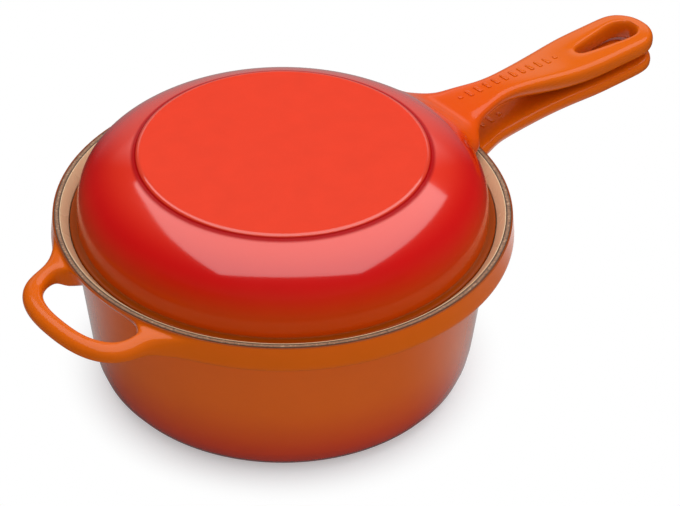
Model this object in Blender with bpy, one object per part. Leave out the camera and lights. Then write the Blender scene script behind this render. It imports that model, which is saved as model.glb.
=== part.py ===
"""Two-in-one cast-iron pan: a deep saucepan and a skillet that serves as its lid.

Blender 4.5, metres, +Z up. The origin is the centre of the saucepan's base, on the
surface that it stands on. Both long handles point along +X, the helper loop along -X.
"""

import math

import bmesh
import bpy
from mathutils import Matrix, Vector

# Coats and fits
JOIN_GAP = 0.0003
ENAMEL = 0.0006
GROUND_COAT = 0.0006
LID_SIDE_CLEARANCE = 0.0004
HANDLE_OVER_RIM = 0.0010
HANDLE_PAST_RIM = 0.0040

# Saucepan bowl
RIM_RADIUS = 0.1180
RIM_HEIGHT = 0.0974
RIM_LAND = 0.0040
RIM_EDGE = 0.0006
COLLAR_HEIGHT = 0.0142
COLLAR_FLARE = 0.0018
COLLAR_OVERHANG = 0.0105
COLLAR_UNDERSIDE_DROP = 0.0010
COLLAR_ROUND = 0.0042
COLLAR_FILLET = 0.0035
SIDE_DRAFT = math.radians(6.6)
BASE_ROUND = 0.0185
SAUCEPAN_WALL = 0.0050
SAUCEPAN_FLOOR = 0.0055

# Seat for the lid, inside the collar
MOUTH_BEVEL_WIDTH = 0.0042
MOUTH_BEVEL_DROP = 0.0045
SEAT_DEPTH = 0.0084
SEAT_CORNER = 0.0010
SEAT_EDGE = 0.0015

# Skillet that is the lid, measured up from its seat
LID_HEIGHT = 0.0434
LID_FLANGE_WIDTH = 0.0040
LID_FLANGE_THICKNESS = 0.0035
LID_FLANGE_EDGE = 0.0010
LID_WALL = 0.0042
LID_SHOULDER_WIDTH = 0.0293
LID_SHOULDER_SLOPE = math.radians(24.0)
LID_SHOULDER_PULL = 0.0335
LID_SIDE_PULL = 0.0151
LID_SIDE_STRAIGHT = 0.0015
DISC_LEDGE = 0.0016
DISC_STEP = 0.0012
DISC_EDGE = 0.0006

# Long handles, measured outwards from the saucepan's rim
HANDLE_REACH = 0.1448
HANDLE_ROOT_WIDTH = 0.0380
HANDLE_WAIST_WIDTH = 0.0226
HANDLE_END_WIDTH = 0.0386
HANDLE_END_ROUND = 0.0205
HANDLE_END_SQUARENESS = 2.4
HANDLE_END_STOP = math.radians(83.0)
HANDLE_WAIST_AT = 0.0280
HANDLE_FULL_AT = 0.1000
HANDLE_FLARE = 0.0045
HANDLE_FLARE_FROM = 0.0040
HANDLE_FLARE_LENGTH = 0.0160
HANDLE_ROOT_INSIDE = 0.0230
HANDLE_EDGE = 0.0042
HANDLE_ARC_LEAD = 0.0045

# Hang hole, a teardrop
HOLE_TIP_WALL = 0.0084
HOLE_LENGTH = 0.0452
HOLE_WIDE_RADIUS = 0.0078
HOLE_NARROW_RADIUS = 0.0026
HOLE_EDGE = 0.0016
HOLE_CUT_OVER = 0.0016
HOLE_CUT_STEP = 0.0003

# Saucepan handle
PAN_HANDLE_BELOW_RIM = 0.0032
PAN_HANDLE_THICKNESS = 0.0099
PAN_HANDLE_SAG = 0.0080
PAN_HANDLE_RISE_FROM = 0.0180
PAN_HANDLE_RISE_TO = 0.0840

# Lid handle
LID_HANDLE_ABOVE_RIM = 0.0104
LID_HANDLE_THICKNESS = 0.0116
LID_HANDLE_CREST = 0.0030
LID_HANDLE_FALL_FROM = 0.0300
LID_HANDLE_FALL_TO = 0.0850
LID_GUSSET_REACH = 0.0100

# Helper loop
LOOP_REACH = 0.0308
LOOP_WIDTH = 0.0860
LOOP_BAR = 0.0115
LOOP_SQUARENESS = 2.5
LOOP_BELOW_RIM = 0.0045
LOOP_THICKNESS = 0.0086
LOOP_ROOT_RISE = 0.0022
LOOP_ROOT_LENGTH = 0.0120
LOOP_FLARE = 0.0125
LOOP_FLARE_LENGTH = 0.0170
LOOP_CORNER = 0.0055
LOOP_CORNER_LENGTH = 0.0100
LOOP_EDGE = 0.0036

# Recess under the rim, between the helper loop's arms
RECESS_WIDTH = 0.0580
RECESS_LIP = 0.0030
RECESS_DEPTH = 0.0022
RECESS_WALL = 0.0048
RECESS_FOOT = 0.0010
RECESS_DROP = 0.0014

# Fineness of the round forms
TURN_STEPS = 40
ARC_STEPS = 3
ARC_SHARE = 0.45
CURVE_STEPS = 7
OUTLINE_STEPS = 18
FOOT_STEPS = 4
EDGE_STEPS = 3
SHARP_ANGLE = math.radians(40.0)

# Places that follow from the sizes
SEAT_RADIUS = RIM_RADIUS - RIM_LAND - MOUTH_BEVEL_WIDTH
SEAT_HEIGHT = RIM_HEIGHT - SEAT_DEPTH
BODY_RADIUS = RIM_RADIUS - COLLAR_OVERHANG
BODY_TOP = RIM_HEIGHT - COLLAR_HEIGHT - COLLAR_UNDERSIDE_DROP
MOUTH_RADIUS = BODY_RADIUS - SAUCEPAN_WALL
LID_BASE = SEAT_HEIGHT + JOIN_GAP
LID_TOP = LID_BASE + LID_HEIGHT
FLANGE_RADIUS = SEAT_RADIUS - LID_SIDE_CLEARANCE
LID_RADIUS = FLANGE_RADIUS - LID_FLANGE_WIDTH
FLANGE_BOTTOM = LID_BASE + GROUND_COAT + JOIN_GAP
FLANGE_TOP = FLANGE_BOTTOM + LID_FLANGE_THICKNESS
HANDLE_TIP = RIM_RADIUS + HANDLE_REACH

ORANGE_ENAMEL = ("orange_enamel", (0.740, 0.170, 0.020), 0.16)
RED_ENAMEL = ("red_enamel", (0.640, 0.030, 0.015), 0.14)
SAND_ENAMEL = ("sand_enamel", (0.640, 0.400, 0.250), 0.30)
GREY_GROUND = ("grey_ground_coat", (0.180, 0.150, 0.120), 0.65)
BLACK_SATIN = ("black_satin_enamel", (0.018, 0.017, 0.016), 0.45)


def clear_scene():
    """Remove whatever the file opened with."""
    for thing in list(bpy.data.objects):
        bpy.data.objects.remove(thing, do_unlink=True)


def enamel(values):
    """Return the material with this name, colour and roughness, made on first use."""
    name, colour, roughness = values
    made = bpy.data.materials.get(name)
    if made is None:
        made = bpy.data.materials.new(name)
        made.use_nodes = True
        shader = made.node_tree.nodes["Principled BSDF"]
        shader.inputs["Base Color"].default_value = (*colour, 1.0)
        shader.inputs["Roughness"].default_value = roughness
        shader.inputs["Metallic"].default_value = 0.0
        made.diffuse_color = (*colour, 1.0)
    return made


def add_object(name, mesh, finish=None):
    """Put a mesh in the scene; without a finish it is a cutter and stays hidden."""
    thing = bpy.data.objects.new(name, mesh)
    bpy.context.scene.collection.objects.link(thing)
    if finish is None:
        thing.hide_render = True
        thing.display_type = "WIRE"
    else:
        mesh.materials.append(enamel(finish))
    return thing


def smooth_step(value, start, end):
    """Ease from 0 to 1 while value goes from start to end."""
    share = min(max((value - start) / (end - start), 0.0), 1.0)
    return share * share * (3.0 - 2.0 * share)


def rounded(corners):
    """Turn corners (x, y, round) into points, with an arc at each corner that has a round."""
    points = []
    for index, (x, y, radius) in enumerate(corners):
        here = Vector((x, y))
        if radius == 0.0 or index in (0, len(corners) - 1):
            points.append(here)
            continue
        back = Vector(corners[index - 1][:2]) - here
        ahead = Vector(corners[index + 1][:2]) - here
        half = back.angle(ahead) / 2.0
        longest = ARC_SHARE * min(back.length, ahead.length)
        reach = min(radius / math.tan(half), longest)
        start = here + back.normalized() * reach
        end = here + ahead.normalized() * reach
        inwards = (back.normalized() + ahead.normalized()).normalized()
        centre = here + inwards * (reach / math.cos(half))
        sweep = (start - centre).angle_signed(end - centre)
        for step in range(ARC_STEPS + 1):
            turn = -sweep * step / ARC_STEPS
            spoke = start - centre
            points.append(centre + Vector((
                spoke.x * math.cos(turn) - spoke.y * math.sin(turn),
                spoke.x * math.sin(turn) + spoke.y * math.cos(turn))))
    return points


def parallel(points, distance):
    """Shift a path of points to its right by a distance."""
    shifted = []
    for index, here in enumerate(points):
        before = points[max(index - 1, 0)]
        after = points[min(index + 1, len(points) - 1)]
        enter = (here - before) if index else (after - here)
        leave = (after - here) if index < len(points) - 1 else (here - before)
        first = Vector((enter.y, -enter.x)).normalized()
        second = Vector((leave.y, -leave.x)).normalized()
        shifted.append(here + (first + second) * (distance / (1.0 + first.dot(second))))
    return shifted


def ended_at(points, height):
    """Slide a path's last point along its last stretch to a height."""
    before, last = points[-2], points[-1]
    share = (height - before.y) / (last.y - before.y)
    return points[:-1] + [before + (last - before) * share]


def bezier(start, pull_start, pull_end, end, steps):
    """Return the points of a cubic curve, both ends included."""
    points = []
    for step in range(steps + 1):
        t = step / steps
        u = 1.0 - t
        points.append(start * u ** 3 + pull_start * (3 * u * u * t)
                      + pull_end * (3 * u * t * t) + end * t ** 3)
    return points


def turned(name, points, finish=None, ring=False):
    """Turn a profile about Z; it runs down its outer side, and a ring's profile is closed."""
    mesh = bpy.data.meshes.new(name)
    vertices = [(max(point.x, 0.0), 0.0, point.y) for point in points]
    edges = [(index, index + 1) for index in range(len(points) - 1)]
    if ring:
        edges.append((len(points) - 1, 0))
    mesh.from_pydata(vertices, edges, [])
    thing = add_object(name, mesh, finish)
    screw = thing.modifiers.new("turn", "SCREW")
    screw.angle = math.tau
    screw.steps = TURN_STEPS
    screw.render_steps = TURN_STEPS
    screw.use_merge_vertices = True
    screw.merge_threshold = 0.00001
    screw.use_smooth_shade = True
    return thing


def saucepan_outside(top_corners, gap):
    """Outer side of the saucepan from these corners at its rim to the centre of the base."""
    foot = BODY_RADIUS - BODY_TOP * math.tan(SIDE_DRAFT)
    corners = top_corners + [
        (RIM_RADIUS + COLLAR_FLARE, RIM_HEIGHT - COLLAR_HEIGHT, COLLAR_ROUND),
        (BODY_RADIUS, BODY_TOP, COLLAR_FILLET),
        (foot, 0.0, BASE_ROUND),
        (0.0, 0.0, 0.0),
    ]
    return parallel(rounded(corners), -gap)


def saucepan_inside(depth):
    """Inner side of the saucepan from the floor's centre to the mouth, below the coat by depth."""
    floor = SAUCEPAN_FLOOR
    foot = MOUTH_RADIUS - (SEAT_HEIGHT - floor) * math.tan(SIDE_DRAFT)
    corners = [
        (0.0, floor, 0.0),
        (foot, floor, BASE_ROUND - SAUCEPAN_WALL),
        (MOUTH_RADIUS, SEAT_HEIGHT, SEAT_EDGE),
        (SEAT_RADIUS, SEAT_HEIGHT, SEAT_CORNER),
        (SEAT_RADIUS, RIM_HEIGHT - MOUTH_BEVEL_DROP, SEAT_CORNER),
        (SEAT_RADIUS + MOUTH_BEVEL_WIDTH, RIM_HEIGHT, 0.0),
    ]
    return parallel(rounded(corners), depth)


def lid_outside(gap):
    """Outer side of the lid from the disc's centre down to the flange's lower edge."""
    ledge = LID_TOP - DISC_STEP
    disc_radius = LID_RADIUS - LID_SHOULDER_WIDTH - DISC_LEDGE
    disc = [
        (0.0, LID_TOP, 0.0),
        (disc_radius, LID_TOP, DISC_EDGE),
        (disc_radius, ledge, 0.0),
    ]
    flange = [
        (LID_RADIUS, FLANGE_TOP, 0.0),
        (FLANGE_RADIUS, FLANGE_TOP, LID_FLANGE_EDGE),
        (FLANGE_RADIUS, FLANGE_BOTTOM, 0.0),
    ]
    points = rounded(disc) + lid_shoulder() + rounded(flange)
    return parallel(points, -gap)


def lid_shoulder():
    """Curve of the lid from the disc's ledge round to its upright side."""
    start = Vector((LID_RADIUS - LID_SHOULDER_WIDTH, LID_TOP - DISC_STEP))
    end = Vector((LID_RADIUS, FLANGE_TOP + LID_SIDE_STRAIGHT))
    slope = Vector((math.cos(LID_SHOULDER_SLOPE), -math.sin(LID_SHOULDER_SLOPE)))
    return bezier(start, start + slope * LID_SHOULDER_PULL,
                  end + Vector((0.0, LID_SIDE_PULL)), end, CURVE_STEPS)


def lid_inside(depth, bottom):
    """Inner side of the lid from its lower edge to the axis, deeper in the wall by depth."""
    shoulder = parallel(lid_shoulder(), LID_WALL - depth)
    crown = Vector((0.0, shoulder[0].y))
    edge = Vector((shoulder[-1].x, bottom))
    return [edge] + shoulder[::-1] + [crown]


def make_saucepan_bowl():
    """Iron bowl with its collar and outer enamel."""
    top = RIM_HEIGHT - GROUND_COAT - JOIN_GAP
    inside = ended_at(saucepan_inside(ENAMEL + JOIN_GAP), top)
    outside = saucepan_outside([(inside[-1].x, top, 0.0), (RIM_RADIUS, top, RIM_EDGE)], 0.0)
    bowl = turned("saucepan_bowl", inside[:-1] + outside, ORANGE_ENAMEL)
    cut(bowl, [loop_recess()])
    return bowl


def make_saucepan_lining():
    """Sand enamel over the floor, the wall, the lid's seat and the bevel."""
    front = ended_at(saucepan_inside(0.0), RIM_HEIGHT)
    back = ended_at(saucepan_inside(ENAMEL), RIM_HEIGHT)
    return turned("saucepan_lining", front + back[::-1], SAND_ENAMEL)


def make_saucepan_rim_coat():
    """Matt ground coat on the flat top of the rim."""
    bottom = RIM_HEIGHT - GROUND_COAT
    inner = ended_at(saucepan_inside(ENAMEL), RIM_HEIGHT)[-1].x + JOIN_GAP
    outer = RIM_RADIUS - RIM_EDGE
    profile = [Vector((inner, RIM_HEIGHT)), Vector((outer, RIM_HEIGHT)),
               Vector((outer, bottom)), Vector((inner, bottom))]
    return turned("saucepan_rim_coat", profile, GREY_GROUND, ring=True)


def make_lid_bowl():
    """Skillet bowl, upside down, with its base disc on top and its flange below."""
    inside = lid_inside(ENAMEL + JOIN_GAP, FLANGE_BOTTOM)
    return turned("lid_bowl", lid_outside(0.0) + inside, RED_ENAMEL)


def make_lid_lining():
    """Dark enamel on the cooking side of the skillet."""
    front = lid_inside(0.0, LID_BASE)
    back = lid_inside(ENAMEL, LID_BASE)
    return turned("lid_lining", back[::-1] + front, BLACK_SATIN)


def make_lid_rim_coat():
    """Matt ground coat on the skillet's rim, which sits on the seat."""
    inner = lid_inside(ENAMEL + JOIN_GAP, LID_BASE)[0].x
    top = LID_BASE + GROUND_COAT
    profile = [Vector((inner, top)), Vector((FLANGE_RADIUS, top)),
               Vector((FLANGE_RADIUS, LID_BASE)), Vector((inner, LID_BASE))]
    return turned("lid_rim_coat", profile, GREY_GROUND, ring=True)


def handle_half_width(out):
    """Half width of a long handle at a distance out from the rim."""
    waist = HANDLE_WAIST_WIDTH / 2.0
    if out < HANDLE_WAIST_AT:
        taper = (HANDLE_ROOT_WIDTH / 2.0 - waist) * (HANDLE_WAIST_AT - out) / HANDLE_WAIST_AT
        flared = max(HANDLE_FLARE_FROM - out, 0.0) / HANDLE_FLARE_LENGTH
        flare = HANDLE_FLARE * flared ** 2
        return waist + taper + flare
    grown = smooth_step(out, HANDLE_WAIST_AT, HANDLE_FULL_AT)
    return waist + (HANDLE_END_WIDTH / 2.0 - waist) * grown


def squared_arc(width, reach, squareness, stop, steps):
    """Quarter of a squared circle, from its side towards its crown, as (out, side) points."""
    points = []
    power = 2.0 / squareness
    for step in range(steps + 1):
        turn = stop * step / steps
        points.append((reach * math.sin(turn) ** power, width / 2.0 * math.cos(turn) ** power))
    return points


def handle_rail():
    """One side of a long handle's plan outline, from its root to just beside its tip."""
    root = RIM_RADIUS - HANDLE_ROOT_INSIDE
    end = HANDLE_TIP - HANDLE_END_ROUND
    full = min(RIM_RADIUS + HANDLE_FULL_AT, end - HANDLE_ARC_LEAD)
    rail = []
    for step in range(OUTLINE_STEPS + 1):
        x = root + (full - root) * step / OUTLINE_STEPS
        rail.append(Vector((x, handle_half_width(x - RIM_RADIUS))))
    arc = squared_arc(HANDLE_END_WIDTH, HANDLE_END_ROUND, HANDLE_END_SQUARENESS,
                      HANDLE_END_STOP, 2 * ARC_STEPS)
    return rail + [Vector((end + along, side)) for along, side in arc]


def slab(name, rail, thickness, edge, finish, other_rail=None):
    """Plate with round edges between two rails; without a second one the first is mirrored."""
    other_rail = other_rail or [Vector((point.x, -point.y)) for point in rail]
    form = bmesh.new()
    left = [form.verts.new((point.x, point.y, 0.0)) for point in rail]
    right = [form.verts.new((point.x, point.y, 0.0)) for point in other_rail]
    for index in range(len(rail) - 1):
        form.faces.new((left[index], left[index + 1], right[index + 1], right[index]))
    grown = bmesh.ops.extrude_face_region(form, geom=form.faces[:])
    raised = [item for item in grown["geom"] if isinstance(item, bmesh.types.BMVert)]
    bmesh.ops.translate(form, verts=raised, vec=(0.0, 0.0, thickness))
    bmesh.ops.recalc_face_normals(form, faces=form.faces)
    rims = [item for item in form.edges if item.calc_face_angle() > SHARP_ANGLE and shows(item)]
    bmesh.ops.bevel(form, geom=rims, offset=edge, offset_type="OFFSET", segments=EDGE_STEPS,
                    profile=0.5, affect="EDGES", clamp_overlap=False)
    mesh = bpy.data.meshes.new(name)
    form.to_mesh(mesh)
    form.free()
    mesh.shade_smooth()
    mesh.set_sharp_from_angle(angle=SHARP_ANGLE)
    return add_object(name, mesh, finish)


def shows(edge):
    """Tell whether a plate's edge lies flat and outside the pan, where it is rounded."""
    along = edge.verts[0].co - edge.verts[1].co
    square_end = abs(along.x) < JOIN_GAP
    inside = abs(edge.verts[0].co.x) < RIM_RADIUS
    return abs(along.z) < JOIN_GAP and not (square_end and inside)


def lift(thing, thickness, top_at, bottom_at):
    """Move a slab's top and bottom to the heights that these give for a distance from the rim."""
    for vertex in thing.data.vertices:
        out = vertex.co.xy.length - RIM_RADIUS
        share = vertex.co.z / thickness
        bottom = bottom_at(out)
        vertex.co.z = bottom + (top_at(out) - bottom) * share


def saucepan_envelope():
    """Cutter that keeps a handle's root clear of the saucepan."""
    above = LID_TOP
    side = saucepan_outside([(0.0, above, 0.0), (RIM_RADIUS, above, 0.0)], JOIN_GAP)
    return turned("saucepan_envelope", side)


def lid_envelope():
    """Cutter that keeps the lid handle's root clear of the skillet bowl."""
    side = lid_outside(JOIN_GAP)
    below = [Vector((side[-1].x, 0.0)), Vector((0.0, 0.0))]
    return turned("lid_envelope", side + below)


def rim_envelope():
    """Cutter that keeps the lid handle clear of the saucepan's mouth and rim all round."""
    inner = SEAT_RADIUS - LID_SIDE_CLEARANCE
    top = RIM_HEIGHT + HANDLE_OVER_RIM
    outer = RIM_RADIUS + HANDLE_PAST_RIM
    profile = [
        Vector((inner, RIM_HEIGHT - MOUTH_BEVEL_DROP)),
        Vector((inner + MOUTH_BEVEL_WIDTH, top)),
        Vector((outer, top)),
        Vector((outer, 0.0)),
        Vector((inner, 0.0)),
    ]
    return turned("rim_envelope", profile, ring=True)


def hole_ring(spread):
    """Teardrop outline of the hang hole, grown all round by spread."""
    wide = HANDLE_TIP - HOLE_TIP_WALL - HOLE_WIDE_RADIUS
    narrow = HANDLE_TIP - HOLE_TIP_WALL - HOLE_LENGTH + HOLE_NARROW_RADIUS
    lean = math.acos((HOLE_NARROW_RADIUS - HOLE_WIDE_RADIUS) / (wide - narrow))
    arcs = (
        (wide, HOLE_WIDE_RADIUS + spread, -lean, lean),
        (narrow, HOLE_NARROW_RADIUS + spread, lean, math.tau - lean),
    )
    points = []
    for centre, radius, first, last in arcs:
        for step in range(2 * ARC_STEPS + 1):
            turn = first + (last - first) * step / (2 * ARC_STEPS)
            points.append((centre + radius * math.cos(turn), radius * math.sin(turn)))
    return points


def hole_cutter(name, top, bottom):
    """Cutter for a hang hole with rounded lips on the handle's top and bottom."""
    steps = (0.0, 40.0, 80.0)
    lip = [(math.sin(math.radians(step)), 1.0 - math.cos(math.radians(step))) for step in steps]
    levels = [(top - HOLE_EDGE + HOLE_EDGE * rise, HOLE_EDGE * spread) for rise, spread in lip]
    levels.append((top + HOLE_CUT_STEP, HOLE_EDGE + HOLE_CUT_OVER))
    levels.append((top + HOLE_CUT_OVER, HOLE_EDGE + HOLE_CUT_OVER))
    levels = [(top + bottom - height, spread) for height, spread in levels[::-1]] + levels
    form = bmesh.new()
    rings = []
    for height, spread in levels:
        rings.append([form.verts.new((x, y, height)) for x, y in hole_ring(spread)])
    for lower, upper in zip(rings, rings[1:]):
        for index in range(len(lower)):
            after = (index + 1) % len(lower)
            form.faces.new((lower[index], lower[after], upper[after], upper[index]))
    form.faces.new(rings[0][::-1])
    form.faces.new(rings[-1])
    bmesh.ops.recalc_face_normals(form, faces=form.faces)
    mesh = bpy.data.meshes.new(name)
    form.to_mesh(mesh)
    form.free()
    return add_object(name, mesh)


def cut(target, cutters):
    """Take each cutter out of the target."""
    for cutter in cutters:
        modifier = target.modifiers.new(cutter.name, "BOOLEAN")
        modifier.operation = "DIFFERENCE"
        modifier.solver = "EXACT"
        modifier.object = cutter


def pan_handle_top(out):
    """Height of the saucepan handle's top, which dips at its root."""
    risen = smooth_step(out, PAN_HANDLE_RISE_FROM, PAN_HANDLE_RISE_TO)
    return RIM_HEIGHT - PAN_HANDLE_BELOW_RIM - PAN_HANDLE_SAG * (1.0 - risen)


def pan_handle_bottom(out):
    """Height of the saucepan handle's underside."""
    return pan_handle_top(out) - PAN_HANDLE_THICKNESS


def lid_handle_top(out):
    """Height of the lid handle's top, which crests at its root."""
    fallen = smooth_step(out, LID_HANDLE_FALL_FROM, LID_HANDLE_FALL_TO)
    return RIM_HEIGHT + LID_HANDLE_ABOVE_RIM + LID_HANDLE_CREST * (1.0 - fallen)


def lid_handle_bottom(out):
    """Height of the lid handle's underside, lowered to the flange at its root."""
    free = smooth_step(out, -LID_GUSSET_REACH, LID_GUSSET_REACH)
    underside = lid_handle_top(out) - LID_HANDLE_THICKNESS
    return FLANGE_BOTTOM + (underside - FLANGE_BOTTOM) * free


def make_saucepan_handle(envelope):
    """Long handle that is cast on the saucepan's collar."""
    handle = slab("saucepan_handle", handle_rail(), PAN_HANDLE_THICKNESS, HANDLE_EDGE, ORANGE_ENAMEL)
    lift(handle, PAN_HANDLE_THICKNESS, pan_handle_top, pan_handle_bottom)
    hole = hole_cutter("pan_handle_hole", pan_handle_top(HANDLE_REACH), pan_handle_bottom(HANDLE_REACH))
    cut(handle, [hole, envelope])
    return handle


def make_lid_handle():
    """Long handle that is cast on the skillet, right above the saucepan's."""
    handle = slab("lid_handle", handle_rail(), LID_HANDLE_THICKNESS, HANDLE_EDGE, ORANGE_ENAMEL)
    lift(handle, LID_HANDLE_THICKNESS, lid_handle_top, lid_handle_bottom)
    hole = hole_cutter("lid_handle_hole", lid_handle_top(HANDLE_REACH), lid_handle_bottom(HANDLE_REACH))
    cut(handle, [hole, lid_envelope(), rim_envelope()])
    return handle


def loop_rail(width, reach, foot_width, foot_length):
    """One arch of the helper loop from foot to foot, its feet spread to foot_width."""
    half = []
    for step in range(FOOT_STEPS, 0, -1):
        back = LOOP_FLARE_LENGTH * step / FOOT_STEPS
        spread = (foot_width - width) / 2.0 * min(back / foot_length, 1.0) ** 2
        half.append((-back, width / 2.0 + spread))
    half += squared_arc(width, reach, LOOP_SQUARENESS, math.pi / 2.0, OUTLINE_STEPS // 2)
    whole = half + [(out, -side) for out, side in half[-2::-1]]
    return [Vector((-(RIM_RADIUS + out), side)) for out, side in whole]


def loop_top(out):
    """Height of the helper loop's top, which climbs the collar at its root."""
    climbed = 1.0 - smooth_step(out, 0.0, LOOP_ROOT_LENGTH)
    return RIM_HEIGHT - LOOP_BELOW_RIM + LOOP_ROOT_RISE * climbed


def loop_bottom(out):
    """Height of the helper loop's underside, level all along."""
    return loop_top(LOOP_REACH) - LOOP_THICKNESS


def loop_recess():
    """Cutter that takes the collar away between the loop's arms and leaves the rim's lip."""
    top = RIM_HEIGHT - RECESS_LIP
    low = BODY_TOP - COLLAR_FILLET - RECESS_FOOT
    outer = RIM_RADIUS + LOOP_REACH
    profile = [
        Vector((RIM_RADIUS - RECESS_DEPTH, top)),
        Vector((outer, top)),
        Vector((outer, low)),
        Vector((BODY_RADIUS - JOIN_GAP, low)),
        Vector((BODY_RADIUS + RECESS_FOOT, BODY_TOP - RECESS_DROP)),
        Vector((SEAT_RADIUS + RECESS_WALL, SEAT_HEIGHT - ENAMEL - JOIN_GAP)),
    ]
    recess = turned("loop_recess", profile, ring=True)
    side = recess.modifiers.new("between_arms", "BOOLEAN")
    side.operation = "INTERSECT"
    side.solver = "EXACT"
    side.object = recess_block()
    return recess


def recess_block():
    """Block as wide as the recess that reaches out from the pan's axis on the loop's side."""
    reach = RIM_RADIUS + 2.0 * LOOP_REACH
    place = Matrix.Translation((-reach / 2.0, 0.0, RIM_HEIGHT))
    size = Matrix.Diagonal((reach, RECESS_WIDTH, 2.0 * RIM_HEIGHT, 1.0))
    form = bmesh.new()
    bmesh.ops.create_cube(form, size=1.0, matrix=place @ size)
    mesh = bpy.data.meshes.new("recess_block")
    form.to_mesh(mesh)
    form.free()
    return add_object("recess_block", mesh)


def make_helper_handle(envelope):
    """Loop for the second hand, cast on the collar opposite the long handle."""
    outer = loop_rail(LOOP_WIDTH, LOOP_REACH, LOOP_WIDTH + 2.0 * LOOP_FLARE, LOOP_FLARE_LENGTH)
    gap = LOOP_WIDTH - 2.0 * LOOP_BAR
    inner = loop_rail(gap, LOOP_REACH - LOOP_BAR, gap - 2.0 * LOOP_CORNER, LOOP_CORNER_LENGTH)
    loop = slab("helper_handle", outer, LOOP_THICKNESS, LOOP_EDGE, ORANGE_ENAMEL, inner)
    lift(loop, LOOP_THICKNESS, loop_top, loop_bottom)
    cut(loop, [envelope])
    return loop


def add_lid_axis(pieces):
    """Empty on the axis that the lid turns about and lifts along, at its seat."""
    axis = bpy.data.objects.new("lid_axis", None)
    bpy.context.scene.collection.objects.link(axis)
    axis.location = (0.0, 0.0, SEAT_HEIGHT)
    bpy.context.view_layer.update()
    for piece in pieces:
        piece.parent = axis
        piece.matrix_parent_inverse = axis.matrix_world.inverted()


def main():
    """Build the saucepan, then the skillet on its seat."""
    clear_scene()
    envelope = saucepan_envelope()
    make_saucepan_bowl()
    make_saucepan_lining()
    make_saucepan_rim_coat()
    make_saucepan_handle(envelope)
    make_helper_handle(envelope)
    add_lid_axis([make_lid_rim_coat(), make_lid_bowl(), make_lid_lining(), make_lid_handle()])


main()
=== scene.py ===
"""Two-in-one cast-iron pan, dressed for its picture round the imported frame."""

import logging
import math
from contextlib import contextmanager
from dataclasses import dataclass, field
from enum import Enum
from typing import Callable, Iterator

import bmesh
import bpy
from mathutils import Matrix, Vector


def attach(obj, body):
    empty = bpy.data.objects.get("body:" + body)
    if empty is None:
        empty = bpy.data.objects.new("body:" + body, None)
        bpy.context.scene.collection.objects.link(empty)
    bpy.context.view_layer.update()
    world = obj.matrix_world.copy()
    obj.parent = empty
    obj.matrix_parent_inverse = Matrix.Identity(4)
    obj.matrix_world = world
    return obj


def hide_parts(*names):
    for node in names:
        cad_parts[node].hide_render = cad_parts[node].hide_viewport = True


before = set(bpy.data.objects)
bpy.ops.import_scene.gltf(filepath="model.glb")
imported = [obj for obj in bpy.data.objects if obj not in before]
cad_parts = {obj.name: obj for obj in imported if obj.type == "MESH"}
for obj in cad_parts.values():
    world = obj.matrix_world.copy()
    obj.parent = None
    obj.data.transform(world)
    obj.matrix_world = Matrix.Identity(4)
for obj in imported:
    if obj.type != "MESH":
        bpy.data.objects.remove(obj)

LOG = logging.getLogger("pan")
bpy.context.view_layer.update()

# The saucepan's rim, in metres like every size here
RIM_RADIUS = 0.1180
RIM_HEIGHT = 0.0974

# Cages: a smoothed ring keeps the limit share of its cage's radius
SEGMENTS = 48
COLUMN_ANGLE = math.tau / SEGMENTS
LIMIT_SHARE = (4.0 + 2.0 * math.cos(COLUMN_ANGLE)) / 6.0
CAGE_LEVELS = 2
LAYERS = ("ring", "row", "column", "station")
HANDLE_ROWS = 4
LOOP_ROWS = 3
LOOP_STATION = 30
RECESS_STATION = 60
NO_NUMBER = -1
MERGE_DISTANCE = 0.00002

# Fine turned pieces
FINE_SEGMENTS = 192
ROUND_STEPS = 6
LINING_STEPS = 14
AXIS_GAP = 0.004
SOFT_EDGE = 0.00015
SMOOTH_ANGLE = math.radians(38.0)

Place = Callable[[int, int], Vector]
Height = Callable[[float], float]
Span = tuple[float, float]
Colour = tuple[float, float, float, float]


class Body(Enum):
    """Bodies of the frame that pieces ride on."""

    SAUCEPAN = "saucepan"
    LID_RIM = "lid_rim"
    LID = "lid"


class Measure(Enum):
    """Measure that tells a handle from its pan, as an output of the axis group."""

    DISTANCE = "Distance"
    ALONG = "Along"


class Slot(Enum):
    """Material slots of the record."""

    ORANGE = "orange_enamel"
    RED = "red_enamel"
    SAND = "sand_enamel"
    GROUND = "grey_ground_coat"
    BLACK = "black_satin_enamel"


# Curves


def smooth_step(value: float, start: float, end: float) -> float:
    """Ease from 0 at the start value to 1 at the end value."""
    share = min(max((value - start) / (end - start), 0.0), 1.0)
    return share * share * (3.0 - 2.0 * share)


def mixed(first: float, second: float, share: float) -> float:
    """Return the value at a share of the way from first to second."""
    return first + (second - first) * share


def squared(value: float, squareness: float) -> float:
    """Turn a sine or cosine into that of a squarer oval; a squareness of 2 changes nothing."""
    return math.copysign(abs(value) ** (2.0 / squareness), value)


def corner(before: Vector, here: Vector, after: Vector, radius: float) -> list[Vector]:
    """Give the three control points that round a corner.

    Args:
        before: A point on the leg that arrives.
        here: The sharp corner.
        after: A point on the leg that leaves.
        radius: Radius that the smoothed corner has.

    Returns:
        A point on each leg with the corner between them.
    """
    back = (before - here).normalized()
    ahead = (after - here).normalized()
    half = back.angle(ahead) / 2.0
    reach = 3.0 * radius * (1.0 / math.sin(half) - 1.0) / math.cos(half)
    return [here + back * reach, here, here + ahead * reach]


def blossom(points: list[Vector], shares: tuple[float, float, float]) -> Vector:
    """Give a control point of a smoothed cage that follows a cubic curve exactly.

    Args:
        points: The curve's four control points.
        shares: The places on the curve before, at and after the point.

    Returns:
        The cage's control point.
    """
    for share in shares:
        points = [first.lerp(second, share) for first, second in zip(points, points[1:])]
    return points[0]


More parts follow.
